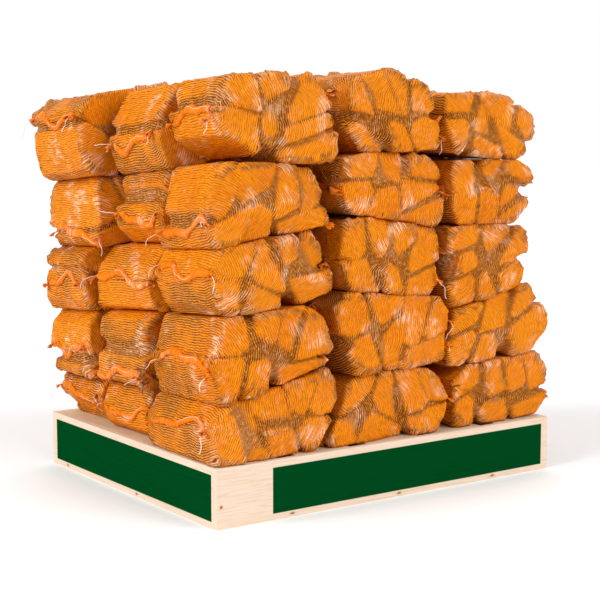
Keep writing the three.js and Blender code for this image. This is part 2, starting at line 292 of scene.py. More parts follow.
# The start of each kind of random choice, to which a bag's own number is added
PLACE_SEED = 1000
LOG_SEED = 5000
NET_SEED = 7000
FOLD_SEED = 9000
SEAM_SEED = 11000
TONE_SEED = 12000


def random_from(seed):
    """Repeatable random numbers from 0 to 1"""
    state = (seed + 1) * 2654435761 & 0xFFFFFFFF

    def draw():
        nonlocal state
        state = (state * 1664525 + 1013904223) & 0xFFFFFFFF
        return state / 4294967296

    draw()
    draw()
    return draw


def swing(draw):
    """A random number from -1 to 1"""
    return draw() * 2 - 1


def drawn(draw, least_and_spread):
    """A random number, given by its least value and how much more it can be"""
    least, spread = least_and_spread
    return least + spread * draw()


def unit(vectors):
    """The same directions with a length of one"""
    return vectors / np.maximum(np.linalg.norm(vectors, axis=-1, keepdims=True), THINNEST)


# Flat outlines


def sides_of(outline):
    """Each corner of an outline with the next one"""
    return list(zip(outline, outline[1:] + outline[:1]))


def between(p, q, t):
    """The point at a share of the way from p to q"""
    return (p[0] + (q[0] - p[0]) * t, p[1] + (q[1] - p[1]) * t)


def left_by(a, b, p):
    """Above nothing if p lies to the left of the line from a to b, and more the further it lies"""
    return (b[0] - a[0]) * (p[1] - a[1]) - (b[1] - a[1]) * (p[0] - a[0])


def clip_left(outline, a, b):
    """The part of a convex outline that lies to the left of the line from a to b"""
    kept = []
    for p, q in sides_of(outline):
        at_p = left_by(a, b, p)
        at_q = left_by(a, b, q)
        if at_p >= 0:
            kept.append(p)
        if at_p * at_q < 0:
            kept.append(between(p, q, at_p / (at_p - at_q)))
    return kept


def area_of(outline):
    return sum(p[0] * q[1] - q[0] * p[1] for p, q in sides_of(outline)) / 2


def split(outline, pieces, draw):
    """Cuts an outline by slanted lines into pieces of about the same area"""
    if pieces == 1:
        return [outline]
    width = max(p[0] for p in outline) - min(p[0] for p in outline)
    height = max(p[1] for p in outline) - min(p[1] for p in outline)
    tilt = swing(draw) * CUT_TILT
    angle = (math.pi / 2 if width > height * 1.1 else 0) + tilt
    direction = (math.cos(angle), math.sin(angle))
    normal = (-direction[1], direction[0])
    first = pieces // 2
    share = first / pieces + swing(draw) * SHARE_SPREAD
    wanted = area_of(outline) * share
    reach = [p[0] * normal[0] + p[1] * normal[1] for p in outline]
    low = min(reach)
    high = max(reach)
    for _ in range(CUT_ROUNDS):
        at = (low + high) / 2
        a = (normal[0] * at, normal[1] * at)
        b = (a[0] + direction[0], a[1] + direction[1])
        if area_of(clip_left(outline, b, a)) < wanted:
            low = at
        else:
            high = at
    before = split(clip_left(outline, b, a), first, draw)
    after = split(clip_left(outline, a, b), pieces - first, draw)
    return before + after


def heart_of(outline):
    """The sharpest corner of an outline, which is where the heart of the tree was"""
    best = outline[0]
    sharpest = 10
    for i, p in enumerate(outline):
        before = outline[i - 1]
        after = outline[(i + 1) % len(outline)]
        u = (before[0] - p[0], before[1] - p[1])
        v = (after[0] - p[0], after[1] - p[1])
        cosine = (u[0] * v[0] + u[1] * v[1]) / (math.hypot(*u) * math.hypot(*v))
        corner = math.acos(min(1, max(-1, cosine)))
        if corner < sharpest:
            sharpest = corner
            best = p
    return best


def hull_of(points):
    """The tightest convex outline around some points"""

    def chain(ordered):
        kept = []
        for p in ordered:
            while len(kept) > 1:
                a, b = kept[-2:]
                if left_by(a, b, p) > 0:
                    break
                kept.pop()
            kept.append(p)
        return kept[:-1]

    ordered = sorted(points)
    return chain(ordered) + chain(ordered[::-1])


# Places in the stack


def joint_height(column, level, x, y):
    """The height of the joint under a layer of a column at a place"""
    left, right, fall = JOINTS[COLUMN_NAMES[column]][level]
    across = (x - COLUMN_LEFT[column]) / (COLUMN_RIGHT[column] - COLUMN_LEFT[column])
    along = (y - STACK_FRONT) / (STACK_BACK - STACK_FRONT)
    return left + (right - left) * across - fall * along


def bag_place(layer, row, column):
    """A bag's name and number, its place in the stack and what it holds"""
    seed = layer * 9 + row * 3 + column
    draw = random_from(PLACE_SEED + seed)
    splits = LEFT_ROW_SPLITS[layer] if column == 0 else (-ROW_SPLIT, ROW_SPLIT)
    fronts = [STACK_FRONT, splits[0] + ROW_GAP / 2, splits[1] + ROW_GAP / 2]
    backs = [splits[0] - ROW_GAP / 2, splits[1] - ROW_GAP / 2, STACK_BACK]
    right_end = RIGHT_ENDS[layer] + (swing(draw) * END_SCATTER if row > 0 else 0)
    hidden = row == 1 and column == 1 and layer < LAYERS - 1
    near = row == 0 or column == 0 or layer == LAYERS - 1
    return SimpleNamespace(
        name=f"layer{layer + 1}_{COLUMN_NAMES[column]}_{ROW_NAMES[row]}",
        seed=seed,
        column=column,
        outline=FRONT_OUTLINES[COLUMN_NAMES[column]][layer] if row == 0 else None,
        top=layer == LAYERS - 1,
        front=fronts[row],
        back=backs[row],
        left=LEFT_ENDS[row][layer] if column == 0 else COLUMN_LEFT[column],
        right=right_end if column == 2 else COLUMN_RIGHT[column],
        under=lambda x, y: joint_height(column, layer, x, y),
        over=lambda x, y: joint_height(column, layer + 1, x, y),
        logs=LOGS_IN_HIDDEN_BAG if hidden else LOGS_IN_BAG[ROW_NAMES[row]],
        detail="hidden" if hidden else "near" if near else "far",
    )


def loose_outline(bag, draw):
    """The outline of a bag that isn't in the front row, with cut corners and rounded ends"""

    def under(x):
        return bag.under(x, bag.front)

    def over(x):
        return bag.over(x, bag.front)

    def corner():
        return drawn(draw, CORNER_LEG)

    def shoulder():
        return drawn(draw, TOP_CORNER_LEG) if bag.top else corner()

    def belly(x):
        return under(x) + (over(x) - under(x)) * drawn(draw, BELLY_SHARE)

    left = bag.left + drawn(draw, SIDE_SET_IN)
    right = bag.right - drawn(draw, SIDE_SET_IN)
    left_belly = belly(left)
    right_belly = belly(right)
    lower_left = corner()
    lower_right = corner()
    upper_right = shoulder()
    upper_left = shoulder()
    peak = left + (right - left) * drawn(draw, PEAK_SHARE)
    return [
        (left + lower_left, under(left + lower_left)),
        (right - lower_right, under(right - lower_right)),
        (right, under(right) + corner()),
        (bag.right, right_belly),
        (right, over(right) - shoulder()),
        (right - upper_right, over(right - upper_right)),
        (peak, over(peak) + (TOP_CROWN * draw() if bag.top else 0)),
        (left + upper_left, over(left + upper_left)),
        (left, over(left) - shoulder()),
        (bag.left, left_belly),
        (left, under(left) + corner()),
    ]


def bag_outline(bag, draw):
    """A bag's outline on its front side, kept between the joints under and over it"""
    outline = hull_of(bag.outline or loose_outline(bag, draw))
    ends = (bag.left - 100, bag.right + 100)
    low = [(x, bag.under(x, bag.front)) for x in ends]
    high = [(x, bag.over(x, bag.front)) for x in ends]
    outline = clip_left(outline, low[0], low[1])
    if not bag.top:
        outline = clip_left(outline, high[1], high[0])
    return outline


def placed(bag, points):
    """Points of a bag laid straight, moved to follow the slope of the joints under and over it"""
    x, y, z = points.T
    low = bag.under(x, bag.front)
    share = (z - low) / (bag.over(x, bag.front) - low)
    here = bag.under(x, y)
    return np.stack([x, y, here + share * (bag.over(x, y) - here)], axis=1)


# Meshes


def mesh_object(name, points, faces, materials, uv=None, slots=None, attributes=None):
    """A smooth mesh piece from points in metres, corner lists, places on the cloth or wood in
    metres for each corner, the material of each face and numbers on the points"""
    mesh = bpy.data.meshes.new(name)
    mesh.from_pydata(points.tolist(), [], faces)
    for material in materials:
        mesh.materials.append(material)
    if slots is not None:
        mesh.polygons.foreach_set("material_index", np.asarray(slots, dtype=np.int32))
    if uv is not None:
        layer = mesh.uv_layers.new(name="UVMap")
        layer.data.foreach_set("uv", np.asarray(uv, dtype=np.float32).ravel())
    for key, values in (attributes or {}).items():
        layer = mesh.attributes.new(key, "FLOAT", "POINT")
        layer.data.foreach_set("value", np.asarray(values, dtype=np.float32))
    mesh.polygons.foreach_set("use_smooth", np.ones(len(faces), dtype=bool))
    mesh.update()
    piece = bpy.data.objects.new(name, mesh)
    bpy.context.scene.collection.objects.link(piece)
    return piece


# Logs


def moved_in(p, q, distance):
    """A side of an outline moved inwards"""
    length = math.dist(p, q)
    nx = -(q[1] - p[1]) / length * distance
    nz = (q[0] - p[0]) / length * distance
    return (p[0] + nx, p[1] + nz), (q[0] + nx, q[1] + nz)


def inside_by(outline, point):
    """How far inside a convex outline a point is"""
    sides = [(p, q, math.dist(p, q)) for p, q in sides_of(outline)]
    return min(left_by(p, q, point) / length for p, q, length in sides if length > 0)


def is_outer(outline, point):
    """True where a point of a log lies on its bag's outline"""
    return inside_by(outline, point) < TOUCH


def lose_corners(section, outline, draw):
    """Takes off some of the corners that face other logs, because split logs seldom fit together"""
    middle = np.mean(section, axis=0)
    for p in section:
        if draw() > CORNER_LOSS or inside_by(outline, p) < CORNER_DEPTH / 2:
            continue
        toward = middle - p
        toward /= np.linalg.norm(toward)
        a = p + toward * CORNER_DEPTH * (0.35 + 0.65 * draw())
        section = clip_left(section, tuple(a), (a[0] + toward[1], a[1] - toward[0]))
    return section


def log_section(cell, outline, draw):
    """A split log's section: a wedge with its heart at the sharpest corner, or half a trunk with
    its heart on its longest side, and a round bark side that keeps the bag's own outline"""
    heart = heart_of(cell)
    if draw() < HALF_TRUNKS:
        p, q = max(sides_of(cell), key=lambda side: math.dist(*side))
        heart = ((p[0] + q[0]) / 2, (p[1] + q[1]) / 2)
    far = max(math.dist(p, heart) for p in cell)
    outer = [math.dist(p, heart) for p in cell if is_outer(outline, p)]
    radius = max([far * LEAST_ROUND_SHARE] + [reach * OUTER_ROUND_SHARE for reach in outer])
    section = cell
    # One random number makes a log stand back from its bag's ends and lean either way
    shy = draw()
    lean = OUTER_LEAN * math.cos(40 * shy)
    for p, q in sides_of(cell):
        length = math.dist(p, q)
        if length < TOUCH:
            continue
        inset = INNER_INSET + INNER_SPREAD * draw() ** 2
        slants = (0.0, 0.0)
        if is_outer(outline, ((p[0] + q[0]) / 2, (p[1] + q[1]) / 2)):
            upright = abs(q[1] - p[1]) / length
            inset = OUTER_INSET + OUTER_SPREAD * shy ** 1.5 * upright
            slants = (max(lean, 0) * length * upright, max(-lean, 0) * length * upright)
        start = moved_in(p, q, inset + slants[0])[0]
        end = moved_in(p, q, inset + slants[1])[1]
        section = clip_left(section, start, end)

    def on_arc(side):
        angle = side / ARC_SIDES * math.tau
        return heart[0] + math.cos(angle) * radius, heart[1] + math.sin(angle) * radius

    for side in range(ARC_SIDES):
        section = clip_left(section, on_arc(side), on_arc(side + 1))
    return lose_corners(section, outline, draw), heart, radius


def logs_of(bag):
    """The logs of a bag: each one's section, heart, bark radius, ends and the flat faces that
    hold the net off"""
    draw = random_from(bag.seed)
    outline = bag_outline(bag, draw)
    cells = split(outline, bag.logs, draw)
    extra = random_from(LOG_SEED + bag.seed)
    logs = []
    for cell in cells:
        front = bag.front + END_STEP * draw() + END_GAP + END_SET_BACK * extra() ** 2
        back = bag.back - END_STEP * draw() - END_GAP
        scales = (1 - LOG_TAPER * draw(), 1 - LOG_TAPER * draw())
        section, heart, radius = log_section(cell, outline, extra)
        tilts = [swing(extra) * END_TILT for _ in range(4)]
        if len(section) < 3 or area_of(section) < LEAST_AREA:
            continue
        log = SimpleNamespace(section=section, heart=heart, radius=radius, front=front, back=back,
                              scales=scales, tilts=tilts, seed=extra())
        log.skew = np.array([swing(extra) * SKEW_ACROSS, swing(extra) * SKEW_UP])
        corners = np.array(section)
        log.middle = corners.mean(axis=0)
        log.front = max(log.front, bag.front + END_GAP + 0.5 * END_TILT * np.ptp(corners[:, 0]) / 2)
        add_walls(log)
        logs.append(log)
    return logs


def is_bark(log, p, q):
    """True where a side of a log's section is part of its round bark side"""
    return min(math.dist(p, log.heart), math.dist(q, log.heart)) > log.radius * BARK_REACH


def add_walls(log):
    """The planes of a log's faces, a net's distance outside them, and which of them are bark"""
    halfway = (log.front + log.back) / 2
    normals = []
    offsets = []
    bark = []
    for p, q in sides_of(log.section):
        length = math.dist(p, q)
        if length < SHORTEST_SIDE:
            continue
        flat = np.array([(q[1] - p[1]) / length, -(q[0] - p[0]) / length])
        lean = flat @ log.skew
        size = math.sqrt(1 + lean * lean)
        normals.append((flat[0] / size, -lean / size, flat[1] / size))
        offsets.append((flat @ p - lean * halfway) / size + NET_OFF_LOGS)
        bark.append(1.0 if is_bark(log, p, q) else 0.0)
    for y, way, tilt in ((log.front, -1, log.tilts[:2]), (log.back, 1, log.tilts[2:])):
        size = math.sqrt(1 + tilt[0] ** 2 + tilt[1] ** 2)
        normal = (-way * tilt[0] / size, way / size, -way * tilt[1] / size)
        normals.append(normal)
        middle = log.middle + log.skew * (y - halfway)
        offsets.append(np.dot(normal, (middle[0], y, middle[1])) + NET_OFF_LOGS)
        bark.append(0.0)
    log.normals = np.array(normals)
    log.offsets = np.array(offsets)
    log.bark = np.array(bark)


def log_perimeter(log):
    """Points around a log's section with their corners cut, and whether each side after them is
    bark"""
    points = []
    bark = []
    for p, q in sides_of(log.section):
        length = math.dist(p, q)
        if length < SHORTEST_SIDE:
            continue
        trim = min(CORNER_CUT, length / 3) / length
        start = between(p, q, trim)
        end = between(q, p, trim)
        steps = max(1, round(math.dist(start, end) / SIDE_STEP))
        points += [between(start, end, step / steps) for step in range(steps)] + [end]
        bark += [is_bark(log, p, q)] * (steps + 1)
    return np.array(points), np.array(bark)


def log_rings(log, ring, bark, shares, sides):
    """The rings of points along a log, which waves, tapers, stands askew and has tilted ends"""
    along = np.roll(ring, -1, axis=0) - np.roll(ring, 1, axis=0)
    outward = unit(np.stack([along[:, 1], -along[:, 0]], axis=1))
    depths = np.where(bark, BARK_RIPPLE, SPLIT_RIPPLE)
    phase = log.seed * 40
    rings = []
    for n, share in enumerate(shares):
        inset = END_CUT if n in (0, len(shares) - 1) else 0
        wave = np.sin(sides[:-1] * SLOW_WAVE + phase + share * 5.0)
        wave *= np.sin(sides[:-1] * FAST_WAVE - phase * 3 + share * 9)
        ripple = depths * (wave - 1) / 2
        scale = log.scales[0] + (log.scales[1] - log.scales[0]) * share
        flat = log.middle + (ring - log.middle) * scale + outward * (ripple - inset)[:, None]
        y = log.front + (log.back - log.front) * share
        lean = (1 - share) ** 6 * np.array(log.tilts[:2]) + share ** 6 * np.array(log.tilts[2:])
        depth = y + (flat - log.middle) @ lean
        flat = flat + log.skew * (depth - (log.front + log.back) / 2)[:, None]
        rings.append(np.stack([flat[:, 0], depth, flat[:, 1]], axis=1))
    return np.concatenate(rings)


def log_mesh(bag, log):
    """One log's points, faces, places on the wood and face materials"""
    ring, bark = log_perimeter(log)
    count = len(ring)
    length = log.back - log.front
    inner = max(3, round(length / RING_STEP))
    cut = END_CUT / length
    shares = np.concatenate([[0, cut], np.linspace(0, 1, inner + 1)[1:-1], [1 - cut, 1]])
    sides = np.cumsum(np.linalg.norm(np.roll(ring, -1, axis=0) - ring, axis=1))
    sides = np.concatenate([[0], sides])
    points = log_rings(log, ring, bark, shares, sides)
    faces = []
    uv = []
    slots = []
    for n in range(len(shares) - 1):
        y0 = log.front + length * shares[n]
        y1 = log.front + length * shares[n + 1]
        for i in range(count):
            j = (i + 1) % count
            faces.append((n * count + i, n * count + j, (n + 1) * count + j, (n + 1) * count + i))
            uv += [(sides[i], y0), (sides[i + 1], y0), (sides[i + 1], y1), (sides[i], y1)]
            slots.append(BARK_SLOT if bark[i] else SPLIT_SLOT)
    last = (len(shares) - 1) * count
    faces += [tuple(range(count))[::-1], tuple(range(last, last + count))]
    slots += [END_SLOT, END_SLOT]
    grain = [(x - log.heart[0], z - log.heart[1]) for x, z in ring]
    uv = np.array(uv + grain[::-1] + grain) * MM
    # Each log has its own place in the wood's pattern, but its end grain is drawn round its heart
    uv[:-2 * count] += log.seed * 7
    return placed(bag, points) * MM, faces, uv, slots


def logs_piece(bag, logs, materials):
    """All the logs of a bag as one piece"""
    points = []
    faces = []
    uv = []
    slots = []
    tones = []
    start = 0
    for log in logs:
        some, corners, places, kinds = log_mesh(bag, log)
        points.append(some)
        faces += [tuple(start + i for i in face) for face in corners]
        uv.append(places)
        slots += kinds
        tones.append(np.full(len(some), log.seed))
        start += len(some)
    points = np.concatenate(points)
    attributes = {"tone": np.concatenate(tones)}
    piece = mesh_object(f"logs_{bag.name}", points, faces, materials, np.concatenate(uv), slots, attributes)
    piece.data.set_sharp_from_angle(angle=math.radians(SHARP_EDGE))
    return piece


# Nets


def smooth_field(draw, rows, columns, high, wide):
    """Soft random hills from -1 to 1 over a grid that closes on itself along its columns"""
    down = max(2, round(rows / high)) + 1
    across = max(2, round(columns / wide))
    knots = np.array([[swing(draw) for _ in range(across)] for _ in range(down)])
    r = np.linspace(0, down - 1.001, rows)
    c = np.arange(columns) / columns * across
    r0 = r.astype(int)
    c0 = c.astype(int) % across
    fr = (r - r0)[:, None]
    fc = (c - c.astype(int))[None, :]
    fr = fr * fr * (3 - 2 * fr)
    fc = fc * fc * (3 - 2 * fc)
    c1 = (c0 + 1) % across
    r1 = r0 + 1
    top = knots[r0][:, c0] * (1 - fc) + knots[r0][:, c1] * fc
    low = knots[r1][:, c0] * (1 - fc) + knots[r1][:, c1] * fc
    return top * (1 - fr) + low * fr


def even_points(chain, count):
    """Points spaced evenly along a chain of points"""
    chain = np.array(chain)
    gone = np.concatenate([[0], np.cumsum(np.linalg.norm(np.diff(chain, axis=0), axis=1))])
    at = np.linspace(0, gone[-1], count)
    return np.stack([np.interp(at, gone, chain[:, 0]), np.interp(at, gone, chain[:, 1])], axis=1)


def push_out(points, outward, logs, clearance=0.0):
    """Moves the points that are inside a log out through its nearest face that faces out of the bag"""
    for log in logs:
        depth = points @ log.normals.T - log.offsets - clearance
        inside = np.flatnonzero(depth.max(axis=1) < 0)
        facing = outward[inside] @ log.normals.T
        depth = np.where(facing > LEAST_FACING, depth[inside], -1e9)
        side = depth.argmax(axis=1)
        how_deep = depth[np.arange(len(inside)), side]
        reached = how_deep > -LONGEST_PUSH
        points[inside[reached]] -= how_deep[reached, None] * log.normals[side[reached]]
    return points


def nearest_log(points, logs):
    """How far each point is from the nearest log, and whether that log's face there is bark"""
    nearest = np.full(len(points), 1e9)
    bark = np.zeros(len(points))
    for log in logs:
        depth = points @ log.normals.T - log.offsets
        away = depth.max(axis=1)
        closer = away < nearest
        nearest = np.where(closer, away, nearest)
        bark = np.where(closer, log.bark[depth.argmax(axis=1)], bark)
    return nearest, bark


def outward_of(net):
    """The direction out of the net at each point of its grid"""
    along = np.empty_like(net)
    along[1:-1] = net[2:] - net[:-2]
    along[0] = net[1] - net[0]
    along[-1] = net[-1] - net[-2]
    around = np.roll(net, -1, axis=1) - np.roll(net, 1, axis=1)
    out = unit(np.cross(along, around))
    # Where the ends close, the cells are too thin to tell, so the way from the bag's middle helps
    low = net.min(axis=(0, 1))
    high = net.max(axis=(0, 1))
    out += 0.4 * unit((net - (low + high) / 2) / (high - low))
    out[0] += (-0.6, 0, 0)
    out[-1] += (0.6, 0, 0)
    return unit(out)


def close_end(net, end, inner, high, deep, neck):
    """Closes an end of the net: gathered in its neck, or flat in a seam that runs front to back"""
    if neck is not None:
        net[end] = neck
        return
    top = np.arange(high, high + deep + 1)
    low = (2 * (high + deep) - np.arange(deep + 1)) % (2 * (high + deep))
    seam = (net[end, top] + net[end, low]) / 2
    pulled = (net[inner, top] + net[inner, low]) / 2
    spread = seam.copy()
    spread[1:-1] = (pulled[1:-1] * 2 + seam[:-2] + seam[2:]) / 4
    spread[0] = (pulled[0] * 2 + seam[1]) / 3
    spread[-1] = (pulled[-1] * 2 + seam[-2]) / 3
    net[end, top] = spread
    net[end, low] = spread
    net[end, 1:high] = spread[0]
    net[end, high + deep + 1:2 * high + deep] = spread[-1]


def tighten(net, logs, high, deep, necks, rounds, sag):
    """Draws the net tight: each point goes to the middle of its neighbours and stays off the logs"""
    for _ in range(rounds):
        outward = outward_of(net)
        around = np.roll(net, 1, axis=1) + np.roll(net, -1, axis=1)
        inner = (net[:-2] + net[2:] + around[1:-1]) / 4
        net[1:-1] += (inner - net[1:-1]) * PULL - outward[1:-1] * sag
        close_end(net, 0, 1, high, deep, necks[0])
        close_end(net, -1, -2, high, deep, necks[1])
        net = push_out(net.reshape(-1, 3), outward.reshape(-1, 3), logs).reshape(net.shape)
    return net


def clear_of_edges(net, logs):
    """Lifts the cells that a log's edge would show through, up to a longest lift"""
    rows, columns, _ = net.shape
    start = net.copy()
    for _ in range(EDGE_ROUNDS):
        outward = outward_of(net).reshape(-1, 3)
        best = np.zeros((rows, columns, 3))
        size = np.zeros((rows, columns))
        above = np.concatenate([net[1:], net[-1:]])
        right = np.roll(net, -1, axis=1)
        corner = np.roll(above, -1, axis=1)
        for u, v in EDGE_SPOTS:
            spot = (net * (1 - u) + above * u) * (1 - v) + (right * (1 - u) + corner * u) * v
            moved = push_out(spot.reshape(-1, 3).copy(), outward, logs, EDGE_CLEARANCE)
            change = moved.reshape(spot.shape) - spot
            change[-1] = 0
            for down in range(1 + (u > 0)):
                for over in range(1 + (v > 0)):
                    there = np.roll(change, (down, over), axis=(0, 1))
                    length = np.linalg.norm(there, axis=2)
                    bigger = length > size
                    best[bigger] = there[bigger]
                    size[bigger] = length[bigger]
        net[1:-1] += best[1:-1] * EDGE_LIFT
        lift = net - start
        length = np.linalg.norm(lift, axis=2, keepdims=True)
        net = start + lift * np.minimum(1, LONGEST_LIFT / np.maximum(length, THINNEST))
    return net


def refined(net):
    """The net's grid with twice as many cells each way"""
    rows, columns, _ = net.shape
    taller = np.empty((rows * 2 - 1, columns, 3))
    taller[::2] = net
    taller[1::2] = (net[1:] + net[:-1]) / 2
    wider = np.empty((rows * 2 - 1, columns * 2, 3))
    wider[:, ::2] = taller
    wider[:, 1::2] = (taller + np.roll(taller, -1, axis=1)) / 2
    return wider


def loose_net(bag, logs):
    """A tube around the logs, as rings of points from its left end to its right end, and how
    many cells high and deep its rings are"""
    hull = hull_of([tuple(p) for log in logs for p in log.section])
    left = min(range(len(hull)), key=lambda i: hull[i][0])
    right = max(range(len(hull)), key=lambda i: hull[i][0])
    ordered = hull[left:] + hull[:left]
    turn = (right - left) % len(hull)
    cell = COARSE_CELL[bag.detail]
    width = hull[right][0] - hull[left][0]
    height = max(p[1] for p in hull) - min(p[1] for p in hull)
    stations = round((width + height) / cell) + 1
    high = round(height / cell)
    deep = round((bag.back - bag.front) / cell)
    bottom = even_points(ordered[:turn + 1], stations)
    top = even_points([ordered[0]] + ordered[turn:][::-1], stations)
    front = min(log.front for log in logs) - NET_OFF_ENDS
    back = max(log.back for log in logs) + NET_OFF_ENDS
    lines = ((bottom, front), (top, front), (top, back), (bottom, back))
    edges = [np.insert(line, 1, y, axis=1) for line, y in lines]
    chains = []
    for side, count in enumerate((high, deep, high, deep)):
        here = edges[side]
        there = edges[(side + 1) % 4]
        chains += [here * (1 - j / count) + there * (j / count) for j in range(count)]
    return np.stack(chains, axis=1), high, deep


def neck_of(bag, net, high, gathered, logs):
    """The place near the front where the gathered end of a loose net is drawn together"""
    draw = random_from(NET_SEED + bag.seed)
    neck_y = net[0, 0, 1] + (bag.back - bag.front) * drawn(draw, NECK_DEPTH)
    neck_z = (net[0, high, 2] + net[0, 0, 2]) / 2 + NECK_SWING * swing(draw)
    tip = net[gathered].mean(axis=0)
    away = np.array([[-1.0 if gathered == 0 else 1.0, 0, 0]])
    neck = np.array([[tip[0], neck_y, tip[2] * (1 - NECK_RISE) + neck_z * NECK_RISE]])
    return (push_out(neck, away, logs, NET_OFF_ENDS) + away * NET_OFF_ENDS)[0]


def net_grid(bag, logs):
    """The tight net of a bag laid straight, with its rings' cells high and deep, and which end is
    gathered"""
    net, high, deep = loose_net(bag, logs)
    gathered = 0 if bag.column == 1 else -1
    necks = [None, None]
    necks[gathered] = neck_of(bag, net, high, gathered, logs)
    net = tighten(net, logs, high, deep, necks, COARSE_ROUNDS, SAG * 3)
    net = refined(net)
    high *= 2
    deep *= 2
    net = tighten(net, logs, high, deep, necks, FINE_ROUNDS, SAG)
    net = clear_of_edges(net, logs)
    highest = HIGHEST_CREST * COARSE_CELL[bag.detail] / 2
    for _ in range(CREST_ROUNDS):
        over = np.clip(crests(net) - highest, 0, None)
        net[1:-1] -= (over[..., None] * outward_of(net))[1:-1]
    return net, high, deep, gathered


def tension_folds(draw, rows, columns, gathered):
    """Straight ridges that run from where the net is pulled together out over its grid"""
    i = np.arange(rows)[:, None]
    j = np.arange(columns)[None, :]
    sewn = 0 if gathered == -1 else rows - 1
    tied = rows - 1 - sewn
    inward = {0: 0.0, rows - 1: math.pi}
    starts = []
    for count, end, turn in ((NECK_FOLDS, tied, NECK_FOLD_TURN), (SEAM_FOLDS, sewn, SEAM_FOLD_TURN)):
        for _ in range(count):
            starts.append((end, draw() * columns, inward[end] + (draw() - 0.5) * turn))
    for _ in range(CORNER_FOLDS):
        starts.append((sewn, (draw() - 0.5) * 6, inward[sewn] + (draw() - 0.5) * CORNER_FOLD_TURN))
    starts += [(draw() * rows, draw() * columns, draw() * math.tau) for _ in range(OTHER_FOLDS)]
    ridge = np.zeros((rows, columns))
    for start_i, start_j, angle in starts:
        reach = drawn(draw, FOLD_REACH)
        width = drawn(draw, FOLD_WIDTH)
        height = drawn(draw, FOLD_HEIGHT)
        down = i - start_i
        over = (j - start_j + columns / 2) % columns - columns / 2
        along = down * math.cos(angle) + over * math.sin(angle)
        across = over * math.cos(angle) - down * math.sin(angle)
        taper = np.clip(along / 2, 0, 1) * np.clip(1.2 - along / reach, 0, 1)
        ridge = np.maximum(ridge, height * taper * np.exp(-(across / width) ** 2))
    return ridge


def wrinkled(bag, net, logs, gathered):
    """Lifts folds in the net, and gives how far it hangs free of the logs, whether bark is behind
    it and how creased it is at each point"""
    draw = random_from(FOLD_SEED + bag.seed)
    rows, columns, _ = net.shape
    out = outward_of(net)
    off, bark = nearest_log(net.reshape(-1, 3), logs)
    free = np.clip((off.reshape(rows, columns) - 1.5) / 4, 0, 1)
    neck = net[gathered].mean(axis=0)
    from_neck = np.linalg.norm(net - neck, axis=2)
    seam_front = net[0 if gathered == -1 else -1, 0]
    from_corner = np.linalg.norm(net - seam_front, axis=2)
    warp = smooth_field(draw, rows, columns, 12, 12) * 0.9
    j = np.arange(columns)[None, :]
    pleat = np.abs(np.sin(j * math.pi / PLEAT_PITCH + warp * 3)) ** 2
    at_neck = NECK_PLEAT * np.exp(-from_neck / PLEAT_REACH)
    at_corner = CORNER_PLEAT * np.exp(-from_corner / PLEAT_REACH)
    folds = pleat * (at_neck + at_corner)
    folds = np.maximum(folds, tension_folds(draw, rows, columns, gathered)) * (0.45 + 0.55 * free)
    slant = 0.35 + 0.5 * draw()
    i = np.arange(rows)[:, None]
    run = np.abs(np.sin((i * slant + j * 0.32) * 0.55 + smooth_field(draw, rows, columns, 9, 9) * 2.6))
    patches = np.clip(smooth_field(draw, rows, columns, 14, 14) * 1.6, 0, 1)
    tension = (1 - run) ** 2 * patches * TENSION_HEIGHT
    lift = folds + tension + (0.4 + 1.4 * free) * smooth_field(draw, rows, columns, 4, 4)
    moved = net + out * lift[..., None]
    moved[0] = net[0]
    moved[-1] = net[-1]
    low = bag.under(moved[..., 0], bag.front) + JOINT_CLEARANCE
    moved[..., 2] = np.maximum(moved[..., 2], low)
    if not bag.top:
        high = bag.over(moved[..., 0], bag.front) - JOINT_CLEARANCE
        moved[..., 2] = np.minimum(moved[..., 2], high)
    crease = np.clip(np.maximum((folds + tension) / 8, (crests(moved) - 0.8) / 6), 0, 0.7)
    return moved, free, bark, crease


def lengths_along(net):
    """How far each point is along the net from its left end"""
    steps = np.linalg.norm(net[1:] - net[:-1], axis=2)
    along = np.vstack([np.zeros(net.shape[1]), np.cumsum(steps, axis=0)])
    for _ in range(LENGTH_ROUNDS):
        along = (np.roll(along, 1, axis=1) + along + np.roll(along, -1, axis=1)) / 3
    return along


def crests(net):
    """How far each point of the net stands out between its neighbours"""
    around = (np.roll(net, 1, axis=1) + np.roll(net, -1, axis=1)) / 2
    along = net.copy()
    along[1:-1] = (net[2:] + net[:-2]) / 2
    return ((net - (around + along) / 2) * outward_of(net)).sum(axis=2)


def net_faces(rows, columns, high, deep, gathered):
    """The net's cells as corner lists, with its ends closed, and their places on the cloth"""
    ids = np.arange(rows * columns).reshape(rows, columns)
    place = ids.copy()
    for end in (0, rows - 1):
        if end == gathered % rows:
            place[end] = ids[end, 0]
            continue
        for k in range(deep + 1):
            place[end, (2 * (high + deep) - k) % columns] = ids[end, high + k]
        place[end, 0:high] = ids[end, high]
        place[end, high + deep:2 * high + deep] = ids[end, high + deep]
    faces = []
    uv = []
    for i in range(rows - 1):
        for j in range(columns):
            k = (j + 1) % columns
            corners = [(place[i, j], (j, i)), (place[i + 1, j], (j, i + 1)),
                       (place[i + 1, k], (j + 1, i + 1)), (place[i, k], (j + 1, i))]
            kept = [c for n, c in enumerate(corners) if c[0] != corners[n - 1][0]]
            if len(kept) < 3:
                continue
            faces.append(tuple(int(c[0]) for c in kept))
            uv += [c[1] for c in kept]
    return faces, uv


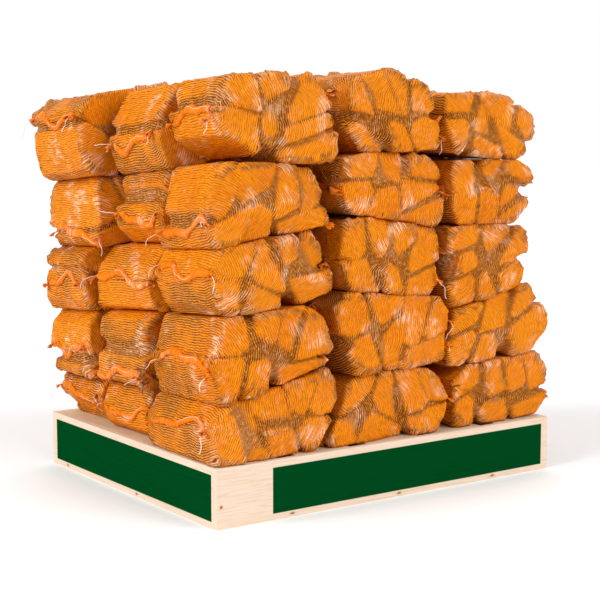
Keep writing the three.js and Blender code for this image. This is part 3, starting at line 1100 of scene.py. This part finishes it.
def grid_faces(grid, start, turn, step_across=0.0, filled=True):
    """Corner lists of the cells between closed rings of points, and their places on the cloth"""
    rows, columns, _ = grid.shape
    faces = []
    uv = []
    for i in range(rows - 1):
        for j in range(columns):
            faces.append(tuple(start + (i + down) * columns + (j + over) % columns for down, over in turn))
            uv += [((j + over) * step_across, (i + down) * CLOTH_STEP) for down, over in turn]
    if filled:
        last = start + (rows - 1) * columns
        faces += [tuple(range(start, start + columns)), tuple(range(last, last + columns))[::-1]]
        uv += [(0, 0)] * (2 * columns)
    return faces, uv


def ruffle_grid(origin, direction, form, draw):
    """A gathered end of net: a narrow neck that opens into a crumpled frill"""
    length = drawn(draw, form[0])
    neck = form[1]
    flare = drawn(draw, form[2])
    direction = unit(direction)
    side = unit(np.cross(direction, (0, 0, 1.0)))
    up = np.cross(side, direction)
    angle = np.arange(TUFT_TURNS) / TUFT_TURNS * math.tau
    waves = [(count, draw() * math.tau, 0.5 + draw()) for count in TUFT_WAVES]
    bend = swing(draw) * 0.6
    flat = drawn(draw, TUFT_FLATNESS)
    grid = np.empty((TUFT_RINGS, TUFT_TURNS, 3))
    for i in range(TUFT_RINGS):
        t = i / (TUFT_RINGS - 1)
        size = neck * (1.5 - 0.5 * min(1, t * 5)) + (flare - neck) * max(0, t - 0.15) ** 1.1
        fold = np.ones(TUFT_TURNS)
        reach = np.full(TUFT_TURNS, length * t)
        for count, phase, much in waves:
            fold += (0.04 + 0.13 * t) * much * np.sin(count * angle + phase + 1.5 * t)
            reach += length * 0.1 * t * t * much * np.sin(count * angle - phase)
        centre = origin + side * bend * length * t * t + np.array((0, 0, -0.25 * length * t * t))
        grid[i] = (centre + reach[:, None] * direction
                   + (size * fold * np.cos(angle))[:, None] * side
                   + (size * fold * flat * np.sin(angle))[:, None] * up)
    return grid


def thread_grid(points, radius):
    """A thin round thread along some points"""
    points = np.array(points)
    ahead = unit(np.gradient(points, axis=0))
    side = unit(np.cross(ahead, (0.3, 0.2, 0.93)))
    up = np.cross(side, ahead)
    angles = np.arange(THREAD_SIDES) / THREAD_SIDES * math.tau
    return (points[:, None, :] + radius * (np.cos(angles)[None, :, None] * side[:, None, :]
                                           + np.sin(angles)[None, :, None] * up[:, None, :]))


def swell(t, fast, slow, phases):
    """Two waves together, for an uneven width or height along a seam"""
    return math.sin(t * fast + phases[0]) * math.sin(t * slow + phases[1])


def seam_band(net, high, deep, end, cell, width, draw):
    """A rolled fold of doubled net over the sewn end, with the line along its crest and the
    directions out of it"""
    columns = net.shape[1]
    out = outward_of(net)
    step = 1 if end == 0 else -1
    first = 0 if end == 0 else net.shape[0] - 1
    phases = [draw() * math.tau for _ in range(6)]

    def spot(k, across):
        """The place and the direction out of the net, k cells from the front and some cells above
        or below the seam"""
        whole_k = min(int(k), deep - 1)
        whole = int(abs(across))
        part = abs(across) - whole
        places = []
        ways = []
        for n in (whole_k, whole_k + 1):
            around = high + n if across >= 0 else (2 * (high + deep) - n) % columns
            here = net[first + step * whole, around]
            there = net[first + step * (whole + 1), around]
            places.append(here * (1 - part) + there * part)
            ways.append(out[first + step * max(whole, 2), around])
        part_k = k - whole_k
        way = ways[0] * (1 - part_k) + ways[1] * part_k
        return places[0] * (1 - part_k) + places[1] * part_k, unit(way)

    steps = deep * 2
    band = np.empty((steps, len(SEAM_PROFILE), 3))
    crest = []
    crest_ways = []
    for n in range(steps):
        t = n / (steps - 1)
        k = 0.4 + t * (deep - 0.8)
        bend = math.sin(t * 5.2 + phases[0]) * 0.8 + math.sin(t * 12 + phases[1]) * 0.4
        across = SEAM_SWING / cell * bend
        taper = min(1, t * 9 + 0.4, (1 - t) * 9 + 0.4)
        wide = width * taper * (1 + SEAM_UNEVEN_WIDTH * swell(t, 31, 13, phases[2:4]))
        tall = 1 + SEAM_UNEVEN_HEIGHT * swell(t, 43, 19, phases[4:6])
        for m, (share, lift) in enumerate(SEAM_PROFILE):
            here, way = spot(k, across + share * wide / cell)
            band[n, m] = here + way * (lift * (tall if lift > 1 else 1))
        crest.append(band[n, SEAM_CREST])
        crest_ways.append(spot(k, across)[1])
    return band, np.array(crest), np.array(crest_ways)


def tail_points(start, direction, length, draw):
    """A loose thread end that curls and hangs"""
    points = [np.array(start)]
    heading = unit(direction)
    for _ in range(TAIL_STEPS):
        turn = np.array([swing(draw), swing(draw), swing(draw) - TAIL_DROOP])
        heading = unit(heading + turn * TAIL_CURL)
        points.append(points[-1] + heading * length / TAIL_STEPS)
    return points


def end_parts(bag, net, neck, high, deep, gathered, draw):
    """The grids of the seam at the sewn end and of the tufts at both ends, and of the threads"""
    end = -1 if gathered == 0 else 0
    cell = (bag.back - bag.front) / deep
    band, path, ways = seam_band(net, high, deep, end, cell, drawn(draw, SEAM_WIDTH), draw)
    cloth = [band]
    first = round(draw() * STITCH_START * len(path))
    sewn = slice(first, first + round(len(path) * drawn(draw, STITCH_RUN)))
    threads = [thread_grid(path[sewn] + ways[sewn] * 0.4, STITCH_RADIUS)]
    for at, way_y in ((0, -1), (-1, 1)):
        lean = np.array([-1.0 if end == 0 else 1.0, way_y * (0.5 + 0.6 * draw()), -0.2 - 0.5 * draw()])
        cloth.append(ruffle_grid(path[at], lean, SEAM_TUFT, draw))
        if draw() < TAIL_SHARE:
            length = drawn(draw, TAIL_LENGTH)
            tail = tail_points(path[at] + ways[at] * 5, lean, length, draw)
            threads.append(thread_grid(tail, TAIL_RADIUS))
    lean = np.array([0.1, -1.0, -0.5 * draw()])
    if bag.column == 1:
        lean = np.array([-0.55, -1.0, -0.1 - 0.4 * draw()])
    cloth.append(ruffle_grid(neck, lean, NECK_TUFT, draw))
    return cloth, threads


def joined(grids):
    """The points of all the grids in one list"""
    return np.concatenate([grid.reshape(-1, 3) for grid in grids])


def net_piece(bag, logs, material, thread_material):
    """A bag's net with its seam and tufts, and its threads as a second piece"""
    net, high, deep, gathered = net_grid(bag, logs)
    moved, free, bark, crease = wrinkled(bag, net, logs, gathered)
    rows, columns, _ = moved.shape
    faces, uv = net_faces(rows, columns, high, deep, gathered)
    cell = (bag.back - bag.front) / deep * MM
    along = lengths_along(net) * MM
    uv = [(u * cell, along[v, u % columns]) for u, v in uv]

    draw = random_from(SEAM_SEED + bag.seed)
    cloth, threads = end_parts(bag, moved, net[gathered, 0], high, deep, gathered, draw)
    own = rows * columns
    start = own
    for grid in cloth:
        seam = grid is cloth[0]
        turn, step = (SEAM_TURN, SEAM_STEP) if seam else (TUFT_TURN, TUFT_STEP)
        cells, places = grid_faces(grid, start, turn, step, seam)
        faces += cells
        uv += places
        start += grid.shape[0] * grid.shape[1]
    added = start - own
    attributes = {
        "span": np.append(free, np.zeros(added)),
        "bark": np.append(bark, np.zeros(added)),
        "crease": np.append(crease, np.full(added, SEAM_CREASE)),
        "dense": np.append(np.zeros(own), np.ones(added)),
        "tone": np.full(start, random_from(TONE_SEED + bag.seed)()),
    }
    points = placed(bag, joined([moved] + cloth)) * MM
    piece = mesh_object(f"net_{bag.name}", points, faces, [material], uv, None, attributes)
    clean(piece)

    faces = []
    start = 0
    for grid in threads:
        faces += grid_faces(grid, start, SEAM_TURN)[0]
        start += grid.shape[0] * grid.shape[1]
    points = placed(bag, joined(threads)) * MM
    thread = mesh_object(f"thread_{bag.name}", points, faces, [thread_material])
    return piece, thread


def clean(piece):
    """Drops the points that no face uses"""
    work = bmesh.new()
    work.from_mesh(piece.data)
    loose = [v for v in work.verts if not v.link_faces]
    bmesh.ops.delete(work, geom=loose, context="VERTS")
    work.to_mesh(piece.data)
    work.free()


# Materials

# Colours are linear red, green and blue, and the fourth number stays one.

# The net
ROWS_DEEP = (0.74, 0.185, 0.0025, 1)
ROWS_BRIGHT = (0.86, 0.255, 0.004, 1)
ROWS_OF_LIGHT_BAG = (0.86, 0.30, 0.006, 1)
# Rows darkened as painted shade where the net spans a gap between logs
ROWS_SHADED_OVER_GAP = (0.32, 0.085, 0.006, 1)
ROWS_OVER_BARK = (0.50, 0.175, 0.020, 1)
SEAM_ORANGE = (0.82, 0.18, 0.005, 1)
# Stitches between the rows, darkened as painted shade, most where the net stands open
STITCHES_SHADED_CLOSED = (0.62, 0.145, 0.002, 1)
STITCHES_SHADED_OPEN = (0.22, 0.055, 0.003, 1)
# Light dots painted as glints where the net is open
GLINTS_OVER_GAP = (0.78, 0.30, 0.05, 1)
# Painted highlight on the net's folds and in patches
FOLD_PAINTED_HIGHLIGHT = (1.0, 0.62, 0.42, 1)

# The thread
THREAD_SHADE = (0.70, 0.62, 0.58, 1)
THREAD_WHITE = (0.93, 0.90, 0.88, 1)

# The beech
SPLIT_DEEP = (0.40, 0.21, 0.09, 1)
SPLIT_PALE = (0.62, 0.37, 0.18, 1)
SPLIT_STREAK = (0.34, 0.15, 0.06, 1)
SPLIT_OF_LIGHT_LOG = (0.68, 0.43, 0.22, 1)
BARK_CRACK = (0.040, 0.024, 0.016, 1)
BARK_BROWN = (0.19, 0.13, 0.09, 1)
BARK_PATCH = (0.30, 0.24, 0.18, 1)
END_PALE = (0.84, 0.55, 0.28, 1)
END_RING = (0.62, 0.34, 0.14, 1)
END_SAW_MARK = (0.66, 0.40, 0.19, 1)
END_CRACK = (0.13, 0.07, 0.04, 1)

# The pine and its paint
SKIRT_PALE = (0.73, 0.59, 0.47, 1)
SKIRT_GRAIN = (0.60, 0.40, 0.25, 1)
KNOT_RING = (0.60, 0.36, 0.17, 1)
KNOT_HEART = (0.27, 0.10, 0.05, 1)
PAINT_DARK = (0.0003, 0.045, 0.009, 1)
PAINT_LIGHT = (0.0006, 0.055, 0.0115, 1)
PALLET_PALE = (0.70, 0.55, 0.36, 1)
PALLET_GRAIN = (0.48, 0.32, 0.17, 1)
PALLET_DIRT = (0.34, 0.26, 0.18, 1)

# The floor
FLOOR_SHADE = (0.93, 0.93, 0.93, 1)
FLOOR_PALE = (0.95, 0.95, 0.95, 1)


class Surface:
    """A material built node by node. An input takes a number, a colour or another node's output."""

    def __init__(self, name):
        self.material = bpy.data.materials.new(name)
        self.material.use_nodes = True
        self.tree = self.material.node_tree
        self.shader = self.tree.nodes["Principled BSDF"]

    def feed(self, made, inputs):
        for key, value in inputs.items():
            if isinstance(value, bpy.types.NodeSocket):
                self.tree.links.new(value, made.inputs[key])
            else:
                made.inputs[key].default_value = value

    def add(self, kind, inputs=None, **settings):
        made = self.tree.nodes.new("ShaderNode" + kind)
        for key, value in settings.items():
            setattr(made, key, value)
        self.feed(made, inputs or {})
        return made

    def math(self, operation, a, b=0.0, clamp=False):
        return self.add("Math", {0: a, 1: b}, operation=operation, use_clamp=clamp).outputs[0]

    def times(self, a, b, clamp=False):
        return self.math("MULTIPLY", a, b, clamp)

    def plus(self, a, b, clamp=False):
        return self.math("ADD", a, b, clamp)

    def minus(self, a, b):
        return self.math("SUBTRACT", a, b)

    def most(self, a, b):
        return self.math("MAXIMUM", a, b)

    def arrows(self, operation, a, b):
        """Arithmetic on places or directions"""
        return self.add("VectorMath", {0: a, 1: b}, operation=operation).outputs[0]

    def length(self, a):
        return self.add("VectorMath", {0: a}, operation="LENGTH").outputs["Value"]

    def split(self, where):
        return self.add("SeparateXYZ", {"Vector": where}).outputs

    def ramp(self, value, low, high, start=0.0, end=1.0):
        """A number carried from one range to another"""
        made = self.add("MapRange", {"Value": value, "From Min": low, "From Max": high,
                                     "To Min": start, "To Max": end})
        return made.outputs["Result"]

    def mix(self, share, a, b, blend="MIX"):
        made = self.add("Mix", data_type="RGBA", blend_type=blend)
        self.feed(made, {0: share, 6: a, 7: b})
        return made.outputs[2]

    def noise(self, where, scale, detail=3.0, rough=0.55, warp=0.0):
        made = self.add("TexNoise", {"Vector": where, "Scale": scale, "Detail": detail,
                                     "Roughness": rough, "Distortion": warp})
        return made.outputs["Fac"]

    def stretch(self, where, scale):
        return self.add("Mapping", {"Vector": where, "Scale": scale}).outputs["Vector"]

    def streaks(self, where, scale, detail, rough=0.55, warp=0.0):
        """Noise that is drawn out along the axes with a low scale"""
        return self.noise(self.stretch(where, scale), 1.0, detail, rough, warp)

    def number(self, name):
        return self.add("Attribute", attribute_name=name).outputs["Fac"]

    def uv(self):
        return self.add("UVMap", uv_map="UVMap").outputs["UV"]

    def place(self):
        return self.add("TexCoord").outputs["Object"]

    def bump(self, height, distance, strength=1.0):
        made = self.add("Bump", {"Height": height, "Distance": distance, "Strength": strength})
        self.feed(self.shader, {"Normal": made.outputs["Normal"]})

    def finish(self, **inputs):
        self.feed(self.shader, {key.replace("_", " "): value for key, value in inputs.items()})
        return self.material


def stripe(s, where, width):
    """Threads at every whole number, as wide as a share of the space between them"""
    middle = s.math("ABSOLUTE", s.minus(s.math("FRACT", where), 0.5))
    edge = s.minus(0.5, s.times(width, 0.5))
    return s.ramp(middle, s.minus(edge, 0.06), s.plus(edge, 0.06))


def net_material():
    """A knitted net whose threads stand apart over gaps and bark, with painted shade over gaps and between
    its rows, painted glints in its open parts and painted highlights on its folds
    """
    s = Surface("net_orange")
    uv = s.uv()
    place = s.place()
    names = ("span", "bark", "crease", "dense", "tone")
    span, bark, crease, dense, tone = [s.number(name) for name in names]

    # The threads wander a little to both sides
    wander = s.add("TexNoise", {"Vector": s.stretch(uv, (14.0, 3.0, 1.0)), "Scale": 1.0, "Detail": 4.0})
    shift = s.arrows("SUBTRACT", wander.outputs["Color"], (0.5, 0.5, 0.5))
    bent = s.arrows("ADD", uv, s.arrows("MULTIPLY", shift, (0.006, 0.030, 0.0)))
    across, along, _ = s.split(bent)

    # How open the net looks: over bark and gaps its threads stand apart, and light wood behind
    # it shines through
    strand = s.streaks(bent, (14.0, 90.0, 1.0), 3.0, 0.6)
    loose = s.ramp(s.noise(place, 8.0, 3.0), 0.40, 0.60, 0.1, 0.75)
    dark = s.times(bark, loose)
    behind = s.most(span, dark)
    open_share = s.plus(behind, s.ramp(strand, 0.36, 0.64, -0.15, 0.30))
    open_share = s.times(open_share, s.minus(1.0, dense), clamp=True)

    # Threads: rows round the bag, joined by finer stitches
    row = s.math("DIVIDE", along, NET_ROW)
    stagger = s.times(s.math("FLOOR", row), 0.5)
    stitch = s.plus(s.math("DIVIDE", across, NET_STITCH), stagger)
    row_thread = stripe(s, row, s.ramp(open_share, 0.0, 1.0, 0.74, 0.48))
    stitch_thread = stripe(s, stitch, s.ramp(open_share, 0.0, 0.9, 0.73, 0.16))
    threads = s.most(row_thread, s.times(stitch_thread, s.ramp(open_share, 0.0, 1.0, 0.92, 0.5)))
    cover = s.most(s.most(threads, LEAST_COVER), dense)
    cover = s.plus(cover, s.times(crease, 0.45), clamp=True)

    # Colour: bright rows and redder seams, with painted shade on the stitches between the rows and on the
    # rows over gaps
    blotch = s.noise(place, 9.0, 4.0, 0.6)
    bright = s.mix(s.ramp(blotch, 0.3, 0.7), ROWS_DEEP, ROWS_BRIGHT)
    bright = s.mix(s.times(tone, 0.35), bright, ROWS_OF_LIGHT_BAG)
    # Painted shade: the rows darken where the net spans a gap
    bright = s.mix(s.times(span, 0.75), bright, ROWS_SHADED_OVER_GAP)
    bright = s.mix(s.times(dark, 0.75), bright, ROWS_OVER_BARK)
    bright = s.mix(s.times(dense, 0.8), bright, SEAM_ORANGE)
    # Painted shade on the stitches between the rows, deeper where the net is open
    deep = s.mix(open_share, STITCHES_SHADED_CLOSED, STITCHES_SHADED_OPEN)
    colour = s.mix(s.most(row_thread, dense), deep, bright)

    # Uneven threads, painted glints as light dots in the open parts, and painted highlights on the folds
    # and in patches
    grain = s.streaks(bent, (40.0, 170.0, 1.0), 2.0, 0.6)
    colour = s.mix(1.0, colour, s.ramp(grain, 0.35, 0.65, 0.74, 1.16), "MULTIPLY")
    # The knots here are painted glints: light dots over gaps and bark
    knots = s.ramp(s.streaks(bent, (75.0, 100.0, 1.0), 3.0, 0.65), 0.47, 0.60, 0.0, 0.8)
    colour = s.mix(s.times(behind, knots), colour, GLINTS_OVER_GAP)
    # Painted highlights: pale streaks on the creases and in patches
    streak = s.streaks(bent, (22.0, 130.0, 1.0), 3.0, 0.6)
    highlight_patch = s.ramp(s.noise(place, 11.0, 3.0), 0.55, 0.69, 0.0, 0.9)
    highlight_zone = s.ramp(s.noise(place, 6.5, 2.0), 0.46, 0.62)
    highlight_share = s.most(s.times(crease, highlight_zone), highlight_patch)
    pale = s.times(s.ramp(streak, 0.43, 0.62), highlight_share, clamp=True)
    colour = s.mix(pale, colour, FOLD_PAINTED_HIGHLIGHT)

    fuzz = s.streaks(uv, (60.0, 180.0, 1.0), 3.0)
    s.bump(s.plus(threads, s.times(fuzz, 2.4)), 0.001, 0.8)
    s.finish(Specular_IOR_Level=0.05)
    return s.finish(Base_Color=colour, Roughness=s.ramp(streak, 0.3, 0.7, 0.55, 0.4), Alpha=cover)


def split_material():
    """Split beech with its grain along the log"""
    s = Surface("beech_split")
    uv = s.uv()
    tone = s.number("tone")
    grain = s.streaks(uv, (260.0, 9.0, 1.0), 5.0, 0.6, 0.4)
    broad = s.streaks(uv, (30.0, 4.0, 1.0), 3.0)
    colour = s.mix(s.ramp(grain, 0.3, 0.7), SPLIT_DEEP, SPLIT_PALE)
    colour = s.mix(s.ramp(broad, 0.42, 0.72, 0.0, 0.7), colour, SPLIT_STREAK)
    colour = s.mix(s.times(tone, 0.35), colour, SPLIT_OF_LIGHT_LOG)
    s.bump(grain, 0.0016, 0.8)
    s.finish(Specular_IOR_Level=0.12)
    return s.finish(Base_Color=colour, Roughness=0.78)


def bark_material():
    """Grey and brown beech bark with fine cracks"""
    s = Surface("beech_bark")
    uv = s.uv()
    cracks = s.streaks(uv, (60.0, 150.0, 1.0), 5.0, 0.65, 0.6)
    patches = s.noise(uv, 26.0, 3.0)
    colour = s.mix(s.ramp(cracks, 0.35, 0.65), BARK_CRACK, BARK_BROWN)
    colour = s.mix(s.ramp(patches, 0.55, 0.7, 0.0, 0.6), colour, BARK_PATCH)
    s.bump(cracks, 0.0022, 0.9)
    s.finish(Specular_IOR_Level=0.1)
    return s.finish(Base_Color=colour, Roughness=0.88)


def end_material():
    """A sawn end with rings, cracks and saw marks"""
    s = Surface("beech_end_grain")
    uv = s.uv()
    wander = s.noise(uv, 16.0, 2.0)
    distance = s.plus(s.length(uv), s.times(wander, 0.006))
    ring = s.math("FRACT", s.times(distance, 330.0))
    late = s.ramp(ring, 0.62, 1.0)
    saw = s.streaks(uv, (40.0, 420.0, 1.0), 3.0)
    across, up, _ = s.split(uv)
    angle = s.math("ARCTAN2", up, across)
    rays = s.add("CombineXYZ", {0: s.times(angle, 22.0), 1: s.times(distance, 9.0)})
    check = s.noise(rays.outputs[0], 1.0, 2.0)
    crack = s.ramp(check, 0.30, 0.34, 1.0, 0.0)
    colour = s.mix(s.times(late, 0.5), END_PALE, END_RING)
    colour = s.mix(s.ramp(saw, 0.3, 0.7, 0.0, 0.35), colour, END_SAW_MARK)
    colour = s.mix(s.times(crack, 0.8), colour, END_CRACK)
    s.bump(s.minus(s.times(saw, 0.5), crack), 0.0014, 0.7)
    s.finish(Specular_IOR_Level=0.12)
    return s.finish(Base_Color=colour, Roughness=0.8)


def thread_material():
    """White twisted thread"""
    s = Surface("thread_white")
    twist = s.streaks(s.place(), (900.0, 900.0, 900.0), 1.0)
    colour = s.mix(twist, THREAD_SHADE, THREAD_WHITE)
    s.bump(twist, 0.0003)
    return s.finish(Base_Color=colour, Roughness=0.6)


def pine(s, along, base, dark):
    """Colour and height of sawn pine with its grain along one direction"""
    place = s.place()
    fine = [420.0, 420.0, 420.0]
    broad = [34.0, 34.0, 34.0]
    fine[along] = 6.0
    broad[along] = 1.6
    grain = s.streaks(place, fine, 4.0, 0.6, 0.3)
    bands = s.streaks(place, broad, 3.0, 0.5, 1.2)
    stripes = s.math("FRACT", s.times(bands, 9.0))
    colour = s.mix(s.ramp(stripes, 0.5, 1.0, 0.0, 0.5), base, dark)
    colour = s.mix(s.ramp(grain, 0.4, 0.75, 0.0, 0.3), colour, dark)
    return colour, grain


def box_mask(s, place, box):
    """One inside a box, which is given as the low and high end along each axis, and none outside"""
    mask = 1.0
    for at, (low, high) in zip(s.split(place), box):
        rise = s.ramp(at, low - PAINT_BLUR, low + PAINT_BLUR)
        fall = s.ramp(at, high + PAINT_BLUR, high - PAINT_BLUR)
        mask = s.times(mask, s.times(rise, fall))
    return mask


def skirt_material(name, along, panel, knots):
    """Planed pine with a green panel, given as a box, and knots, given as places and sizes"""
    s = Surface(name)
    place = s.place()
    colour, grain = pine(s, along, SKIRT_PALE, SKIRT_GRAIN)
    for centre, size in knots:
        off = s.arrows("SUBTRACT", place, centre)
        reach = s.length(s.arrows("MULTIPLY", off, tuple(1 / v for v in size)))
        reach = s.plus(reach, s.times(s.noise(place, 160.0, 2.0), 0.7))
        colour = s.mix(s.ramp(reach, 1.9, 1.1, 0.0, 0.6), colour, KNOT_RING)
        colour = s.mix(s.ramp(reach, 1.2, 0.9, 0.0, 0.9), colour, KNOT_HEART)
    paint = box_mask(s, place, panel)
    green = s.mix(s.ramp(grain, 0.35, 0.7), PAINT_DARK, PAINT_LIGHT)
    colour = s.mix(paint, colour, green)
    s.bump(grain, 0.0006, 0.5)
    s.finish(Specular_IOR_Level=0.0)
    return s.finish(Base_Color=colour, Roughness=s.ramp(paint, 0.0, 1.0, 0.62, 0.5))


def pallet_material(name, along):
    """Rough sawn pine with some dirt"""
    s = Surface(name)
    colour, grain = pine(s, along, PALLET_PALE, PALLET_GRAIN)
    dirt = s.noise(s.place(), 6.0, 4.0)
    colour = s.mix(s.ramp(dirt, 0.5, 0.75, 0.0, 0.45), colour, PALLET_DIRT)
    s.bump(grain, 0.0014, 0.8)
    return s.finish(Base_Color=colour, Roughness=0.82)


# The skirt and the pallet


def dress_boards():
    """Gives the skirt its painted panels and every board of the pallet its wood"""
    (left, front, _), (right, _, top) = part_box("skirt_front")
    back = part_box("skirt_back")[1][1]
    long = (left + PANEL_SIDE, right - PANEL_SIDE)
    short = (front + PANEL_SIDE, back - PANEL_SIDE)
    tall = (PANEL_BOTTOM, top - PANEL_TOP)

    def skin(at):
        """The thin layer around a board's outer face, which takes the paint"""
        return (at - PAINT_DEPTH, at + PAINT_DEPTH)

    across = [left + (right - left) * share for share in FRONT_KNOTS]
    along = [front + (back - front) * share for share in SIDE_KNOTS]
    front_knots = [((x, front, KNOT_HEIGHT), FRONT_KNOT) for x in across]
    front_knots.append(((left + CORNER_KNOT_IN, front, CORNER_KNOT_UP), CORNER_KNOT))
    side_knots = [((left, y, KNOT_HEIGHT), SIDE_KNOT) for y in along]
    front_panel = ((left + BARE_END, long[1]), skin(front), tall)
    dressed = {
        "skirt_front": skirt_material("pine_front", 0, front_panel, front_knots),
        "skirt_back": skirt_material("pine_back", 0, (long, skin(back), tall), []),
        "skirt_left": skirt_material("pine_left", 1, (skin(left), short, tall), side_knots),
        "skirt_right": skirt_material("pine_right", 1, (skin(right), short, tall), []),
    }
    lengthways = pallet_material("pallet_beams", 0)
    crossways = pallet_material("pallet_boards", 1)
    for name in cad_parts:
        if name.startswith("stringer"):
            dressed[name] = lengthways
        if name.startswith(("deck_board", "bottom_board")):
            dressed[name] = crossways
    for name, material in dressed.items():
        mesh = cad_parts[name].data
        mesh.materials.clear()
        mesh.materials.append(material)


# Camera, light and floor

# The sensor in millimetres, and the fitted focal length and the photo's width in pixels
SENSOR_WIDTH = 36.0
FOCAL_LENGTH = 1413.3
PHOTO_WIDTH = 600
# The fitted camera's place in metres, and its angles below level and from straight ahead
CAMERA_PLACE = (-2.5804, -3.6130, 1.0497)
CAMERA_DIP = 6.64
CAMERA_TURN = 35.62
# The direction towards each sun, its strength and its angle across
SUNS = {
    "left": ((-0.85, 0.10, 0.52), 2.4, 40),
    "front": ((0.30, -0.80, 0.52), 2.0, 50),
    "back": ((0.60, 0.65, 0.47), 0.8, 60),
}
SURROUND_LIGHT = 0.5
SURROUND_SEEN = 1.0
FLOOR_HALF = 30.0


def add_camera():
    """The camera that was fitted to the photo"""
    data = bpy.data.cameras.new("camera")
    data.sensor_width = SENSOR_WIDTH
    data.lens = FOCAL_LENGTH / PHOTO_WIDTH * SENSOR_WIDTH
    camera = bpy.data.objects.new("camera", data)
    camera.location = CAMERA_PLACE
    camera.rotation_euler = (math.radians(90 - CAMERA_DIP), 0, math.radians(-CAMERA_TURN))
    bpy.context.scene.collection.objects.link(camera)
    bpy.context.scene.camera = camera


def add_soft_sun(name, towards, strength, spread):
    """An even soft light, given by the direction towards it and its angle across"""
    data = bpy.data.lights.new(name, "SUN")
    data.energy = strength
    data.angle = math.radians(spread)
    lamp = bpy.data.objects.new(name, data)
    tip = math.atan2(math.hypot(towards[0], towards[1]), towards[2])
    turn = math.atan2(towards[1], towards[0]) + math.pi / 2
    lamp.rotation_euler = (tip, 0, turn)
    bpy.context.scene.collection.objects.link(lamp)


def add_studio():
    """A white surround, three soft suns and a pale floor"""
    world = bpy.data.worlds.new("studio")
    world.use_nodes = True
    tree = world.node_tree
    background = tree.nodes["Background"]
    background.inputs["Color"].default_value = (1, 1, 1, 1)
    # The white surround is seen at its full brightness and lights the scene a little less
    path = tree.nodes.new("ShaderNodeLightPath")
    level = tree.nodes.new("ShaderNodeMapRange")
    level.inputs["To Min"].default_value = SURROUND_LIGHT
    level.inputs["To Max"].default_value = SURROUND_SEEN
    tree.links.new(path.outputs["Is Camera Ray"], level.inputs["Value"])
    tree.links.new(level.outputs["Result"], background.inputs["Strength"])
    bpy.context.scene.world = world
    bpy.context.scene.view_settings.view_transform = "Standard"
    for name, (towards, strength, spread) in SUNS.items():
        add_soft_sun(name, towards, strength, spread)

    s = Surface("pale_floor")
    colour = s.mix(s.noise(s.place(), 1.5), FLOOR_SHADE, FLOOR_PALE)
    material = s.finish(Base_Color=colour, Roughness=0.9)
    corners = np.array([(-1, -1, 0), (1, -1, 0), (1, 1, 0), (-1, 1, 0)]) * FLOOR_HALF
    floor = mesh_object("floor", corners, [(0, 1, 2, 3)], [material])


def main():
    """Builds every bag, dresses the boards and sets the scene"""
    add_camera()
    orange = net_material()
    white = thread_material()
    wood = [split_material(), bark_material(), end_material()]
    for layer, row, column in product(range(LAYERS), range(len(ROW_NAMES)), range(len(COLUMN_NAMES))):
        bag = bag_place(layer, row, column)
        logs = logs_of(bag)
        filling = logs_piece(bag, logs, wood)
        net, thread = net_piece(bag, logs, orange, white)
        for piece, slot in ((filling, "split_beech"), (net, "net"), (thread, "thread")):
            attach(piece, "root")
        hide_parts(f"bag_{bag.name}")
    dress_boards()
    add_studio()


main()
